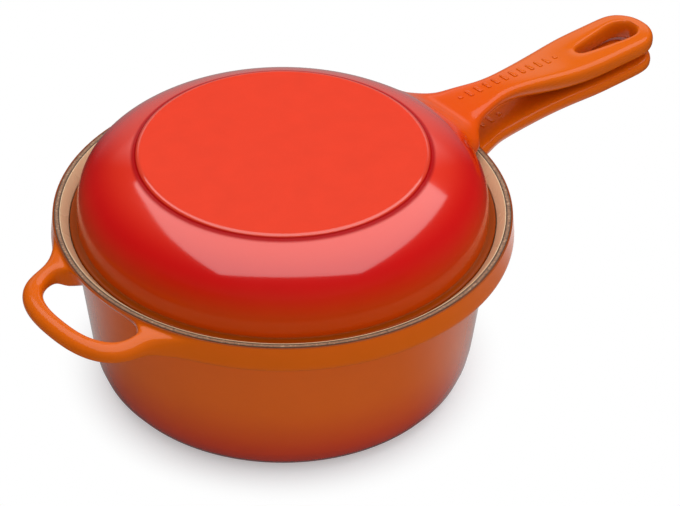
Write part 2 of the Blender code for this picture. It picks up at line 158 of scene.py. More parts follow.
def parallel(points: list[Vector], distance: float) -> list[Vector]:
    """Shift a path to its right.

    Args:
        points: The path.
        distance: How far it moves.

    Returns:
        The shifted path.
    """
    shifted = []
    for index, here in enumerate(points):
        before = points[max(index - 1, 0)]
        after = points[min(index + 1, len(points) - 1)]
        enter = (here - before) if index else (after - here)
        leave = (after - here) if index < len(points) - 1 else (here - before)
        first = Vector((enter.y, -enter.x)).normalized()
        second = Vector((leave.y, -leave.x)).normalized()
        shifted.append(here + (first + second) * (distance / (1.0 + first.dot(second))))
    return shifted


def rounded(corners: list[tuple[float, float, float]], steps: int) -> list[Vector]:
    """Draw a path with an arc at each corner that has a round.

    Args:
        corners: Radius, height and round of each corner.
        steps: Number of facets in an arc.

    Returns:
        The points of the path.
    """
    points = []
    for index, (x, y, radius) in enumerate(corners):
        here = Vector((x, y))
        if radius == 0.0 or index in (0, len(corners) - 1):
            points.append(here)
            continue
        back = (Vector(corners[index - 1][:2]) - here).normalized()
        ahead = (Vector(corners[index + 1][:2]) - here).normalized()
        half = back.angle(ahead) / 2.0
        reach = radius / math.tan(half)
        centre = here + (back + ahead).normalized() * (reach / math.cos(half))
        spoke = here + back * reach - centre
        sweep = spoke.angle_signed(here + ahead * reach - centre)
        for step in range(steps + 1):
            turn = -sweep * step / steps
            points.append(centre + Vector((
                spoke.x * math.cos(turn) - spoke.y * math.sin(turn),
                spoke.x * math.sin(turn) + spoke.y * math.cos(turn))))
    return points


def path(*points: Span) -> list[Vector]:
    """Turn pairs of radius and height into a path."""
    return [Vector(point) for point in points]


def spoke(turn: float) -> Vector:
    """Give the flat unit vector at an angle in radians."""
    return Vector((math.cos(turn), math.sin(turn)))


def polar(radius: float, turn: float, height: float) -> Vector:
    """Give the place at a radius, an angle about Z and a height."""
    return Vector((radius * math.cos(turn), radius * math.sin(turn), height))


# Modelling


def deselect() -> None:
    """Leave nothing selected, so that an operator acts on the new piece only."""
    bpy.ops.object.select_all(action="DESELECT")


def named(name: str) -> bpy.types.Object:
    """Name the active object and its mesh.

    Args:
        name: The name.

    Returns:
        The object.
    """
    thing = bpy.context.active_object
    thing.name = name
    thing.data.name = name
    return thing


def settle_place() -> None:
    """Move the selected object's place, turn and size into its mesh."""
    bpy.ops.object.transform_apply(location=True, rotation=True, scale=True)


class Cage:
    """Mesh that grows ring by ring and face by face, and is smoothed at the end."""

    def __init__(self, name: str, radius: float, height: float, segments: int) -> None:
        """Start with a filled circle.

        Args:
            name: Name of the piece.
            radius: Radius of the circle.
            height: Height of the circle.
            segments: Number of its sides.
        """
        deselect()
        bpy.ops.mesh.primitive_circle_add(
            vertices=segments, radius=radius, fill_type="NGON", location=(0.0, 0.0, height))
        self.thing = named(name)
        self.radius = radius
        self.height = height
        self.step = 0
        bpy.ops.transform.rotate(
            value=-math.pi / segments, orient_axis="Z", center_override=(0.0, 0.0, height))
        settle_place()
        bpy.ops.object.mode_set(mode="EDIT")
        bpy.ops.mesh.select_mode(type="FACE")
        bpy.ops.mesh.select_all(action="SELECT")
        with self.editing() as (_, layers):
            for layer in LAYERS:
                layers.new(layer)

    @contextmanager
    def editing(self) -> Iterator[tuple[bmesh.types.BMesh, object]]:
        """Open the mesh for numbers and places, and store it afterwards.

        Yields:
            The mesh and the layers that number its vertices.
        """
        form = bmesh.from_edit_mesh(self.thing.data)
        yield form, form.verts.layers.int
        bmesh.update_edit_mesh(self.thing.data)

    def grow(self, profile: list[Vector]) -> None:
        """Extrude the selected circle along a profile.

        Args:
            profile: Radius and height of each ring in turn.
        """
        for point in profile:
            bpy.ops.mesh.extrude_region_move(
                TRANSFORM_OT_translate={"value": (0.0, 0.0, point.y - self.height)})
            scale = point.x / self.radius
            bpy.ops.transform.resize(
                value=(scale, scale, 1.0), center_override=(0.0, 0.0, point.y))
            self.radius, self.height = point
            self.step += 1
            with self.editing() as (form, layers):
                for vertex in form.verts:
                    if vertex.select:
                        vertex[layers["ring"]] = self.step

    def select_faces(self, **spans: tuple[int, int]) -> None:
        """Select the faces whose vertices all have numbers in the spans.

        Args:
            **spans: First and last number in each layer that counts.
        """
        with self.editing() as (form, layers):
            for face in form.faces:
                face.select_set(all(
                    low <= vertex[layers[layer]] <= high
                    for vertex in face.verts for layer, (low, high) in spans.items()))
            form.select_flush_mode()

    def pick(self, rings: tuple[int, int], middle: float, columns: tuple[int, int]) -> None:
        """Select a patch of faces on the turned wall and number its vertices.

        Args:
            rings: First and last ring of the patch.
            middle: Direction of the patch about Z, in radians.
            columns: First and last edge of the patch, counted in half columns from the middle.
        """
        with self.editing() as (form, layers):
            for vertex in form.verts:
                turn = math.remainder(math.atan2(vertex.co.y, vertex.co.x) - middle, math.tau)
                vertex[layers["column"]] = round(2.0 * turn / COLUMN_ANGLE)
                vertex[layers["row"]] = vertex[layers["ring"]] - rings[0]
                vertex[layers["station"]] = NO_NUMBER
        self.select_faces(ring=rings, column=columns)

    def push(self, place: Place, station: int | None = None) -> None:
        """Extrude the selected patch and put its vertices in their places.

        Args:
            place: Gives the place of a vertex from its row and column, or from its station
                and column where no new station is given.
            station: Number that the new vertices get, or None where they keep theirs.
        """
        bpy.ops.mesh.extrude_region_move(TRANSFORM_OT_translate={"value": (0.0, 0.0, 0.0)})
        with self.editing() as (form, layers):
            for vertex in form.verts:
                if not vertex.select:
                    continue
                if station is None:
                    number = vertex[layers["station"]]
                else:
                    number = vertex[layers["row"]]
                    vertex[layers["station"]] = station
                vertex.co = place(number, vertex[layers["column"]])

    def turn_border(self, rings: tuple[int, int], middle: float, column: int,
                    turn: float) -> None:
        """Slide the two border columns of a patch round Z and leave its new faces out of picks.

        Args:
            rings: First and last ring of the patch.
            middle: Direction of the patch about Z, in radians.
            column: The border's columns are at plus and minus this number.
            turn: Angle from the middle that they get, in radians.
        """
        with self.editing() as (form, layers):
            for vertex in form.verts:
                if vertex.select:
                    vertex[layers["ring"]] = NO_NUMBER
                side = vertex[layers["column"]]
                if abs(side) == column and rings[0] <= vertex[layers["ring"]] <= rings[1]:
                    vertex.co = polar(
                        vertex.co.xy.length, middle + math.copysign(turn, side), vertex.co.z)

    def drop_faces(self) -> None:
        """Delete the selected faces."""
        bpy.ops.mesh.delete(type="FACE")

    def bridge_openings(self) -> None:
        """Join the two open edges of the mesh with a wall."""
        bpy.ops.mesh.select_mode(type="EDGE")
        bpy.ops.mesh.select_all(action="DESELECT")
        bpy.ops.mesh.select_non_manifold(
            extend=False, use_wire=False, use_boundary=True, use_multi_face=False,
            use_non_contiguous=False, use_verts=False)
        bpy.ops.mesh.bridge_edge_loops()
        bpy.ops.mesh.select_mode(type="FACE")

    def merge(self) -> None:
        """Merge vertices that lie in the same place."""
        bpy.ops.mesh.select_all(action="SELECT")
        bpy.ops.mesh.remove_doubles(threshold=MERGE_DISTANCE)

    def finished(self, levels: int) -> bpy.types.Object:
        """Turn the faces outwards, smooth the cage and leave edit mode.

        Args:
            levels: How many times the cage is subdivided; 0 keeps its own faces.

        Returns:
            The finished object.
        """
        bpy.ops.mesh.select_all(action="SELECT")
        bpy.ops.mesh.normals_make_consistent(inside=False)
        bpy.ops.object.mode_set(mode="OBJECT")
        if levels:
            smooth = self.thing.modifiers.new("smooth", "SUBSURF")
            smooth.levels = levels
            smooth.render_levels = levels
            bpy.ops.object.modifier_apply(modifier=smooth.name)
            bpy.ops.object.shade_smooth()
        else:
            bpy.ops.object.shade_smooth_by_angle(angle=SMOOTH_ANGLE)
        for layer in LAYERS:
            self.thing.data.attributes.remove(self.thing.data.attributes[layer])
        return self.thing


def turned(name: str, profile: list[Vector]) -> bpy.types.Object:
    """Make a fine turned piece whose profile starts and ends near the axis.

    Args:
        name: Name of the piece.
        profile: Radius and height of each ring.

    Returns:
        The finished object.
    """
    cage = Cage(name, profile[0].x, profile[0].y, FINE_SEGMENTS)
    cage.grow(profile[1:])
    return cage.finished(0)


def band(name: str, profile: list[Vector]) -> bpy.types.Object:
    """Make a fine turned ring from a closed profile.

    Args:
        name: Name of the piece.
        profile: Radius and height of each ring; the last joins the first.

    Returns:
        The finished object.
    """
    cage = Cage(name, profile[0].x, profile[0].y, FINE_SEGMENTS)
    bpy.ops.mesh.delete(type="ONLY_FACE")
    bpy.ops.mesh.select_mode(type="EDGE")
    bpy.ops.mesh.select_all(action="SELECT")
    cage.grow(profile[1:] + profile[:1])
    bpy.ops.mesh.select_mode(type="FACE")
    cage.merge()
    return cage.finished(0)


def flat_band(name: str, land: Span, back: float, front: float) -> bpy.types.Object:
    """Make a flat ring with soft edges on its front.

    Args:
        name: Name of the piece.
        land: Its inner and outer radius.
        back: Height of its sharp-edged side.
        front: Height of its soft-edged side.

    Returns:
        The finished object.
    """
    inner, outer = land
    shy = front - math.copysign(SOFT_EDGE, front - back)
    return band(name, path(
        (inner, back), (inner, shy), (inner + SOFT_EDGE, front), (outer - SOFT_EDGE, front),
        (outer, shy), (outer, back)))


def widened(rings: list[Vector]) -> list[Vector]:
    """Widen a cage's rings, so that smoothing brings them to their radii."""
    return [Vector((ring.x / LIMIT_SHARE, ring.y)) for ring in rings]


def settle(thing: bpy.types.Object, paint: "Paint", body: Body, slot: Slot,
           *nodes: str) -> None:
    """Dress a finished piece, tie it to the frame and report it.

    Args:
        thing: The piece.
        paint: Its only material.
        body: Body that it rides on.
        slot: Material slot of the record that it stands for; not used.
        *nodes: CAD nodes that it replaces.
    """
    thing.data.materials.clear()
    thing.data.materials.append(paint.material)
    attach(thing, body.value)
    if nodes:
        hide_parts(*nodes)
    faces = len(thing.data.polygons)
    LOG.info("%s rides on %s with %d faces", thing.name, body.value, faces)


# Finishes


class NodeSheet:
    """Node tree with short ways to add and join nodes."""

    def __init__(self, tree: bpy.types.NodeTree) -> None:
        """Keep the tree."""
        self.tree = tree

    def add(self, kind: str, **values: object) -> bpy.types.Node:
        """Add a node.

        Args:
            kind: Type name of the node.
            **values: Properties to set on it.

        Returns:
            The node.
        """
        node = self.tree.nodes.new(kind)
        for key, value in values.items():
            setattr(node, key, value)
        return node

    def feed(self, socket: bpy.types.NodeSocket, value: object) -> None:
        """Give a socket a value, or a link where the value is a socket.

        Args:
            socket: The socket.
            value: Its value, or the socket that it follows.
        """
        if isinstance(value, bpy.types.NodeSocket):
            self.tree.links.new(value, socket)
        else:
            socket.default_value = value

    def feed_all(self, node: bpy.types.Node, **values: object) -> bpy.types.Node:
        """Feed inputs of a node by their labels, with _ for a space.

        Args:
            node: The node.
            **values: Value or link of each input.

        Returns:
            The same node.
        """
        for key, value in values.items():
            self.feed(node.inputs[key.replace("_", " ")], value)
        return node

    def math(self, operation: str, *values: object) -> bpy.types.NodeSocket:
        """Add a Math node.

        Args:
            operation: What it does.
            *values: Its inputs in order.

        Returns:
            Its output.
        """
        node = self.add("ShaderNodeMath", operation=operation)
        for socket, value in zip(node.inputs, values):
            self.feed(socket, value)
        return node.outputs[0]

    def times(self, first: object, second: object) -> bpy.types.NodeSocket:
        """Multiply two values."""
        return self.math("MULTIPLY", first, second)

    def plus(self, first: object, second: object) -> bpy.types.NodeSocket:
        """Add two values."""
        return self.math("ADD", first, second)

    def ease(self, value: object, start: object, end: object) -> bpy.types.NodeSocket:
        """Add a smooth step from 0 at the start value to 1 at the end value."""
        node = self.add("ShaderNodeMapRange", interpolation_type="SMOOTHSTEP")
        return self.feed_all(node, Value=value, From_Min=start, From_Max=end).outputs["Result"]

    def blend(self, share: object, first: object, second: object,
              kind: str = "RGBA") -> bpy.types.NodeSocket:
        """Mix two colours, or two values where the kind is FLOAT."""
        node = self.add("ShaderNodeMix", data_type=kind)
        return self.feed_all(node, Factor=share, A=first, B=second).outputs["Result"]

    def mix(self, share: object, first: object, second: object) -> bpy.types.NodeSocket:
        """Mix two values."""
        return self.blend(share, first, second, "FLOAT")

    def glow(self, level: object) -> bpy.types.Node:
        """Add a plain emission of a level."""
        return self.feed_all(self.add("ShaderNodeEmission"), Strength=level)

    def join(self, kind: str, share: object, first: bpy.types.Node,
             second: bpy.types.Node) -> bpy.types.Node:
        """Add or mix two shaders.

        Args:
            kind: Type name of the joining node.
            share: How much of the second one shows, or None where they are added.
            first: A shader.
            second: Another shader.

        Returns:
            The joining node.
        """
        node = self.add(kind)
        if share is not None:
            self.feed(node.inputs[0], share)
        self.tree.links.new(first.outputs[0], node.inputs[-2])
        self.tree.links.new(second.outputs[0], node.inputs[-1])
        return node

    def here(self) -> bpy.types.NodeSocket:
        """Give the shaded point's place on its object."""
        return self.add("ShaderNodeTexCoord").outputs["Object"]

    def parts(self, place: object) -> list[bpy.types.NodeSocket]:
        """Take a place or direction apart.

        Args:
            place: The place or direction.

        Returns:
            Its X, Y and Z.
        """
        node = self.add("ShaderNodeSeparateXYZ")
        self.feed(node.inputs[0], place)
        return list(node.outputs)

    def noise(self, place: object, scale: object, detail: float) -> bpy.types.NodeSocket:
        """Add a noise from 0 to 1 with a number of features per metre."""
        node = self.add("ShaderNodeTexNoise")
        return self.feed_all(node, Vector=place, Scale=scale, Detail=detail).outputs["Fac"]

    def varied(self, level: object, amount: object, scale: float,
               detail: float) -> bpy.types.NodeSocket:
        """Let a level wander over the surface by an amount in all."""
        wander = self.math("SUBTRACT", self.noise(self.here(), scale, detail), 0.5)
        return self.plus(level, self.times(wander, amount))


FLOAT = "NodeSocketFloat"
COLOUR = "NodeSocketColor"


def new_group(name: str, inputs: dict[str, object],
              outputs: dict[str, str]) -> tuple[NodeSheet, object, object]:
    """Start a shader node group.

    Args:
        name: Name of the group.
        inputs: Default of each input; a colour where it has four values.
        outputs: Socket type of each output.

    Returns:
        The sheet, the sockets that bring its inputs and the sockets of its outputs.
    """
    tree = bpy.data.node_groups.new(name, "ShaderNodeTree")
    for label, default in inputs.items():
        kind = FLOAT if isinstance(default, float) else COLOUR
        socket = tree.interface.new_socket(label, in_out="INPUT", socket_type=kind)
        socket.default_value = default
    for label, kind in outputs.items():
        tree.interface.new_socket(label, in_out="OUTPUT", socket_type=kind)
    sheet = NodeSheet(tree)
    return sheet, sheet.add("NodeGroupInput").outputs, sheet.add("NodeGroupOutput").inputs


def make_axis_distance() -> bpy.types.NodeTree:
    """Make the group that measures a point's distance from the pan's axis, height and X.

    Returns:
        The group.
    """
    sheet, _, result = new_group(
        "axis_distance", {}, {"Distance": FLOAT, "Height": FLOAT, "Along": FLOAT})
    x, y, z = sheet.parts(sheet.here())
    squares = sheet.plus(sheet.times(x, x), sheet.times(y, y))
    sheet.feed(result["Distance"], sheet.math("SQRT", squares))
    sheet.feed(result["Height"], z)
    sheet.feed(result["Along"], x)
    return sheet.tree


def make_flame() -> bpy.types.NodeTree:
    """Make the group that shades enamel from one colour to another over a height.

    Returns:
        The group.
    """
    sheet, given, result = new_group("flame_enamel", {
        "Low Colour": (0.8, 0.2, 0.02, 1.0),
        "High Colour": (0.6, 0.02, 0.01, 1.0),
        "Height": 0.0,
        "Low": 0.0,
        "High": 0.1,
        "Drift": 0.006,
        "Mottle": 0.06,
    }, {"Colour": COLOUR})
    height = sheet.varied(given["Height"], given["Drift"], scale=16.0, detail=3.0)
    share = sheet.ease(height, given["Low"], given["High"])
    colour = sheet.blend(share, given["Low Colour"], given["High Colour"])
    level = sheet.varied(1.0, given["Mottle"], scale=75.0, detail=4.0)
    shaded = sheet.feed_all(sheet.add("ShaderNodeHueSaturation"), Value=level, Color=colour)
    sheet.feed(result["Colour"], shaded.outputs["Color"])
    return sheet.tree


def make_orange_peel() -> bpy.types.NodeTree:
    """Make the group that gives fired enamel its faint waves and pits.

    Returns:
        The group.
    """
    sheet, given, result = new_group("orange_peel", {
        "Wave Size": 150.0,
        "Grain Size": 900.0,
        "Grain Share": 0.3,
        "Gloss": 0.12,
        "Gloss Change": 0.06,
    }, {"Height": FLOAT, "Roughness": FLOAT})
    place = sheet.here()
    wave = sheet.noise(place, given["Wave Size"], detail=2.0)
    grain = sheet.noise(place, given["Grain Size"], detail=2.0)
    sheet.feed(result["Height"], sheet.plus(wave, sheet.times(grain, given["Grain Share"])))
    rough = sheet.varied(given["Gloss"], given["Gloss Change"], scale=40.0, detail=3.0)
    sheet.feed(result["Roughness"], rough)
    return sheet.tree


def make_speckle() -> bpy.types.NodeTree:
    """Make the group that scatters fine dark and light grains.

    Returns:
        The group.
    """
    sheet, given, result = new_group(
        "speckle", {"Size": 900.0, "Amount": 0.5}, {"Dark": FLOAT, "Light": FLOAT})
    rarest = 0.72
    commoner = 0.2
    blur = 0.08
    light = sheet.noise(sheet.here(), given["Size"], detail=3.0)
    dark = sheet.math("SUBTRACT", 1.0, light)
    edge = sheet.math("SUBTRACT", rarest, sheet.times(given["Amount"], commoner))
    for label, grain in (("Light", light), ("Dark", dark)):
        sheet.feed(result[label], sheet.ease(grain, edge, sheet.plus(edge, blur)))
    return sheet.tree


@dataclass(frozen=True)
class Workshop:
    """Node groups that the finishes share."""

    axis: bpy.types.NodeTree = field(default_factory=make_axis_distance)
    flame: bpy.types.NodeTree = field(default_factory=make_flame)
    peel: bpy.types.NodeTree = field(default_factory=make_orange_peel)
    speckle: bpy.types.NodeTree = field(default_factory=make_speckle)


class Paint:
    """Material that is being mixed, with its shader."""

    def __init__(self, name: str, shop: Workshop | None = None) -> None:
        """Start a material.

        Args:
            name: Name of the material.
            shop: Node groups, where it uses any.
        """
        self.material = bpy.data.materials.new(name)
        self.material.use_nodes = True
        self.sheet = NodeSheet(self.material.node_tree)
        self.shader = self.material.node_tree.nodes["Principled BSDF"]
        self.shop = shop

    def group(self, tree: bpy.types.NodeTree, **values: object) -> bpy.types.NodeOutputs:
        """Place a shared effect with its inputs, with _ for a space, and give its outputs."""
        node = self.sheet.add("ShaderNodeGroup", node_tree=tree)
        return self.sheet.feed_all(node, **values).outputs

    def mottled(self, colour: Colour, mottle: float) -> bpy.types.NodeSocket:
        """Give one colour with faint clouds."""
        return self.group(self.shop.flame, Low_Colour=colour, High_Colour=colour,
                          Height=0.0, Low=0.0, High=1.0, Mottle=mottle)["Colour"]

    def set(self, **values: object) -> None:
        """Set or link inputs of the shader, with _ for a space."""
        self.sheet.feed_all(self.shader, **values)

    def bump(self, height: object, distance: float) -> None:
        """Raise the surface.

        Args:
            height: Height from 0 to 1.
            distance: What a height of 1 means, in metres.
        """
        node = self.sheet.add("ShaderNodeBump")
        self.sheet.feed_all(node, Height=height, Distance=distance, Strength=1.0)
        self.set(Normal=node.outputs["Normal"])


def shade(red: int, green: int, blue: int) -> Colour:
    """Turn a display colour into a linear one.

    Args:
        red: Red from 0 to 255.
        green: Green from 0 to 255.
        blue: Blue from 0 to 255.

    Returns:
        The linear colour.
    """
    levels = [value / 255.0 for value in (red, green, blue)]
    linear = [v / 12.92 if v <= 0.04045 else ((v + 0.055) / 1.055) ** 2.4 for v in levels]
    return (linear[0], linear[1], linear[2], 1.0)


@dataclass(frozen=True)
class PaintedEdgeShade:
    """Edge painted in a darker colour and left without coat, as painted shade."""

    radius: float
    height: float
    above: bool
    colour: Colour
    soft: float = 0.0004

    def mask(self, sheet: NodeSheet, distance: object, height: object) -> object:
        """Say where the edge is.

        Args:
            sheet: Node tree of the material.
            distance: Distance from the axis.
            height: Height.

        Returns:
            The mask, 1 on the edge.
        """
        beyond = sheet.ease(distance, self.radius - self.soft, self.radius + self.soft)
        way = self.soft if self.above else -self.soft
        return sheet.times(beyond, sheet.ease(height, self.height - way, self.height + way))


@dataclass(frozen=True)
class DiscFinish:
    """Satin disc on top of the lid, with painted shade in the step round it: a dark ring without
    coat.

    A zone says how far out from the disc's edge it starts and is full.
    """

    radius: float
    colour: Colour = shade(221, 57, 30)
    # Painted shade in the step round the disc
    groove_shade_colour: Colour = shade(168, 3, 6)
    crown: Colour = shade(224, 46, 24)
    disc_zone: Span = (0.0003, -0.0003)
    bead_zone: Span = (-0.0022, -0.00132)
    groove_shade_zone: Span = (0.0036, 0.00162)
    crown_zone: Span = (0.024, 0.005)
    mottle: float = 0.12
    wave_size: float = 420.0
    grain_size: float = 1500.0
    grain_share: float = 0.6
    gloss: float = 0.46
    gloss_change: float = 0.1


@dataclass(frozen=True)
class FlameFinish:
    """Glossy enamel that goes from orange to red, on the outside of both castings."""

    name: str
    low_colour: Colour
    high_colour: Colour
    root_colour: Colour
    handle_colour: Colour
    flame_zone: Span
    handle_zone: Span
    coat_zone: Span
    # Painted shade on an edge: a darker colour and no coat there
    edge: PaintedEdgeShade
    handle_by: Measure = Measure.DISTANCE
    root_zone: Span = (0.112, 0.187)
    gloss: float = 0.24
    coat: float = 1.0
    skirt_coat: float = 0.25
    handle_coat: float = 0.24
    specular: float = 0.1
    coat_gloss: float = 0.09
    coat_ior: float = 1.72
    relief: float = 0.00006
    disc_finish: DiscFinish | None = None

    def make(self, shop: Workshop) -> Paint:
        """Mix the enamel.

        Args:
            shop: Node groups.

        Returns:
            The paint.
        """
        paint = Paint(self.name, shop)
        sheet = paint.sheet
        axis = paint.group(shop.axis)
        distance = axis["Distance"]
        height = axis["Height"]
        low, high = self.flame_zone
        flame = paint.group(shop.flame, Low_Colour=self.low_colour,
                            High_Colour=self.high_colour, Height=height, Low=low, High=high)
        low, high = self.root_zone
        plain = paint.group(shop.flame, Low_Colour=self.root_colour,
                            High_Colour=self.handle_colour, Height=distance, Low=low, High=high)
        outside = sheet.ease(axis[self.handle_by.value], *self.handle_zone)
        # Painted shade: the shaded edge gets a darker colour and no coat
        painted_edge = self.edge.mask(sheet, distance, height)
        colour = sheet.blend(outside, flame["Colour"], plain["Colour"])
        colour = sheet.blend(painted_edge, colour, self.edge.colour)
        risen = sheet.ease(height, *self.coat_zone)
        coat = sheet.mix(outside, sheet.mix(risen, self.skirt_coat, self.coat), self.handle_coat)
        coat = sheet.mix(painted_edge, coat, 0.0)
        peel = paint.group(shop.peel, Gloss=self.gloss)
        relief = peel["Height"]
        paint.set(Base_Color=colour, Roughness=peel["Roughness"], Coat_Weight=coat,
                  Coat_Roughness=self.coat_gloss, Coat_IOR=self.coat_ior, IOR=1.5,
                  Specular_IOR_Level=self.specular)
        if self.disc_finish:
            relief = self.add_disc(paint, distance, colour, coat, peel)
        paint.bump(relief, self.relief)
        return paint

    def add_disc(self, paint: Paint, distance: object, colour: object, coat: object,
                 peel: bpy.types.NodeOutputs) -> object:
        """Add the satin disc on top of the lid.

        Args:
            paint: The enamel.
            distance: Distance from the axis.
            colour: Colour of the glossy part.
            coat: Coat of the glossy part.
            peel: Roughness and relief of the glossy part.

        Returns:
            The relief with the disc's in it.
        """
        sheet = paint.sheet
        disc = self.disc_finish
        on_disc, bead, groove_shade, crown = (
            sheet.ease(distance, disc.radius + start, disc.radius + full)
            for start, full in (disc.disc_zone, disc.bead_zone, disc.groove_shade_zone, disc.crown_zone))
        satin = paint.mottled(disc.colour, disc.mottle)
        grain = paint.group(
            paint.shop.peel, Wave_Size=disc.wave_size, Grain_Size=disc.grain_size,
            Grain_Share=disc.grain_share, Gloss=disc.gloss, Gloss_Change=disc.gloss_change)
        # Painted shade: the step round the disc gets the dark colour here and no coat below
        ringed = sheet.blend(groove_shade, sheet.blend(crown, colour, disc.crown), disc.groove_shade_colour)
        paint.set(Base_Color=sheet.blend(on_disc, ringed, satin),
                  Roughness=sheet.mix(on_disc, peel["Roughness"], grain["Roughness"]),
                  Coat_Weight=sheet.mix(on_disc, sheet.mix(groove_shade, coat, 0.0), bead))
        return sheet.mix(on_disc, peel["Height"], grain["Height"])


@dataclass(frozen=True)
class CoatFinish:
    """Plain coat with fine light and dark grains in it."""

    name: str
    colour: Colour
    light: Colour = shade(0, 0, 0)
    dark: Colour = shade(0, 0, 0)
    light_share: float = 0.0
    dark_share: float = 0.0
    speck_size: float = 900.0
    speck_amount: float = 0.5
    mottle: float = 0.0
    wave_size: float = 150.0
    grain_size: float = 900.0
    grain_share: float = 0.3
    gloss: float = 0.28
    gloss_change: float = 0.1
    coat: float = 0.0
    coat_gloss: float = 0.08
    relief: float = 0.0001

    def make(self, shop: Workshop) -> Paint:
        """Mix the coat.

        Args:
            shop: Node groups.

        Returns:
            The paint.
        """
        paint = Paint(self.name, shop)
        sheet = paint.sheet
        specks = paint.group(shop.speckle, Size=self.speck_size, Amount=self.speck_amount)
        colour = paint.mottled(self.colour, self.mottle)
        for label, share, tint in (("Light", self.light_share, self.light),
                                   ("Dark", self.dark_share, self.dark)):
            if share:
                colour = sheet.blend(sheet.times(specks[label], share), colour, tint)
        peel = paint.group(
            shop.peel, Wave_Size=self.wave_size, Grain_Size=self.grain_size,
            Grain_Share=self.grain_share, Gloss=self.gloss, Gloss_Change=self.gloss_change)
        paint.set(Base_Color=self.edge_shaded(paint, colour), Roughness=peel["Roughness"],
                  Coat_Weight=self.coat, Coat_Roughness=self.coat_gloss)
        paint.bump(peel["Height"], self.relief)
        return paint

    def edge_shaded(self, paint: Paint, colour: object) -> object:
        """Give the colour with painted shade on its edges; a plain coat has none."""
        return colour


@dataclass(frozen=True)
class SandFinish(CoatFinish):
    """Smooth pale enamel inside the saucepan."""

    name: str = "sand_glaze"
    colour: Colour = shade(222, 190, 152)
    dark: Colour = shade(120, 84, 62)
    dark_share: float = 0.12
    speck_size: float = 1400.0
    speck_amount: float = 0.1
    mottle: float = 0.05
    coat: float = 0.25
    relief: float = 0.00005


@dataclass(frozen=True)
class GroundFinish(CoatFinish):
    """Matt ground coat with fine grains, and painted shade darkening its two edges."""

    colour: Colour = shade(150, 110, 80)
    light: Colour = shade(210, 176, 142)
    dark: Colour = shade(60, 46, 36)
    light_share: float = 0.6
    dark_share: float = 0.6
    speck_size: float = 700.0
    speck_amount: float = 0.75
    wave_size: float = 500.0
    grain_size: float = 2400.0
    grain_share: float = 0.8
    gloss: float = 0.6
    gloss_change: float = 0.2
    relief: float = 0.00012
    land: Span = (0.0, 1.0)
    # Width and strength of the painted shade on the land's two edges
    edge: float = 0.0011
    edge_shade_share: float = 0.9

    def edge_shaded(self, paint: Paint, colour: object) -> object:
        """Darken the land's two edges with painted shade.

        Args:
            paint: The coat.
            colour: Its colour.

        Returns:
            The shaded colour.
        """
        sheet = paint.sheet
        distance = paint.group(paint.shop.axis)["Distance"]
        inner, outer = self.land
        rim = sheet.math("MAXIMUM", sheet.ease(distance, inner + self.edge, inner),
                         sheet.ease(distance, outer - self.edge, outer))
        return sheet.blend(sheet.times(rim, self.edge_shade_share), colour, self.dark)


@dataclass(frozen=True)
class BlackFinish(CoatFinish):
    """Dark satin enamel on the skillet's cooking side."""

    name: str = "black_satin_glaze"
    colour: Colour = shade(34, 33, 32)
    light: Colour = shade(84, 82, 80)
    light_share: float = 0.4
    speck_size: float = 1800.0
    speck_amount: float = 0.3
    mottle: float = 0.3
    wave_size: float = 300.0
    grain_size: float = 1800.0
    grain_share: float = 0.9
    gloss: float = 0.42
    gloss_change: float = 0.14


# Handles


@dataclass(frozen=True)
class HangHole:
    """Teardrop hole near the end of a long handle."""

    tip_wall: float = 0.0084
    length: float = 0.0452
    wide_radius: float = 0.0078
    narrow_radius: float = 0.0026
    lip: float = 0.0022
    lip_drop: float = 0.0012
    slack: float = 0.0003

    def outline(self, tip: float, spread: float, count: int) -> list[Vector]:
        """Give points along one side of the hole, from its narrow end to its wide end.

        Args:
            tip: X of the handle's tip.
            spread: How much wider than the hole the outline is.
            count: Number of points.

        Returns:
            The points, none of them on the middle line.
        """
        wide = Vector((tip - self.tip_wall - self.wide_radius, 0.0))
        narrow = Vector((tip - self.tip_wall - self.length + self.narrow_radius, 0.0))
        apart = wide.x - narrow.x
        lean = math.acos((self.narrow_radius - self.wide_radius) / apart)
        small = self.narrow_radius + spread
        large = self.wide_radius + spread
        first = small * (math.pi - lean)
        straight = apart * math.sin(lean)
        total = first + straight + large * lean
        points = []
        for index in range(count):
            along = total * (index + 0.5) / count
            if along < first:
                points.append(narrow + spoke(math.pi - along / small) * small)
            elif along < first + straight:
                share = (along - first) / straight
                points.append(narrow.lerp(wide, share) + spoke(lean) * mixed(small, large, share))
            else:
                turn = lean - (along - first - straight) / large
                points.append(wide + spoke(turn) * large)
        return points


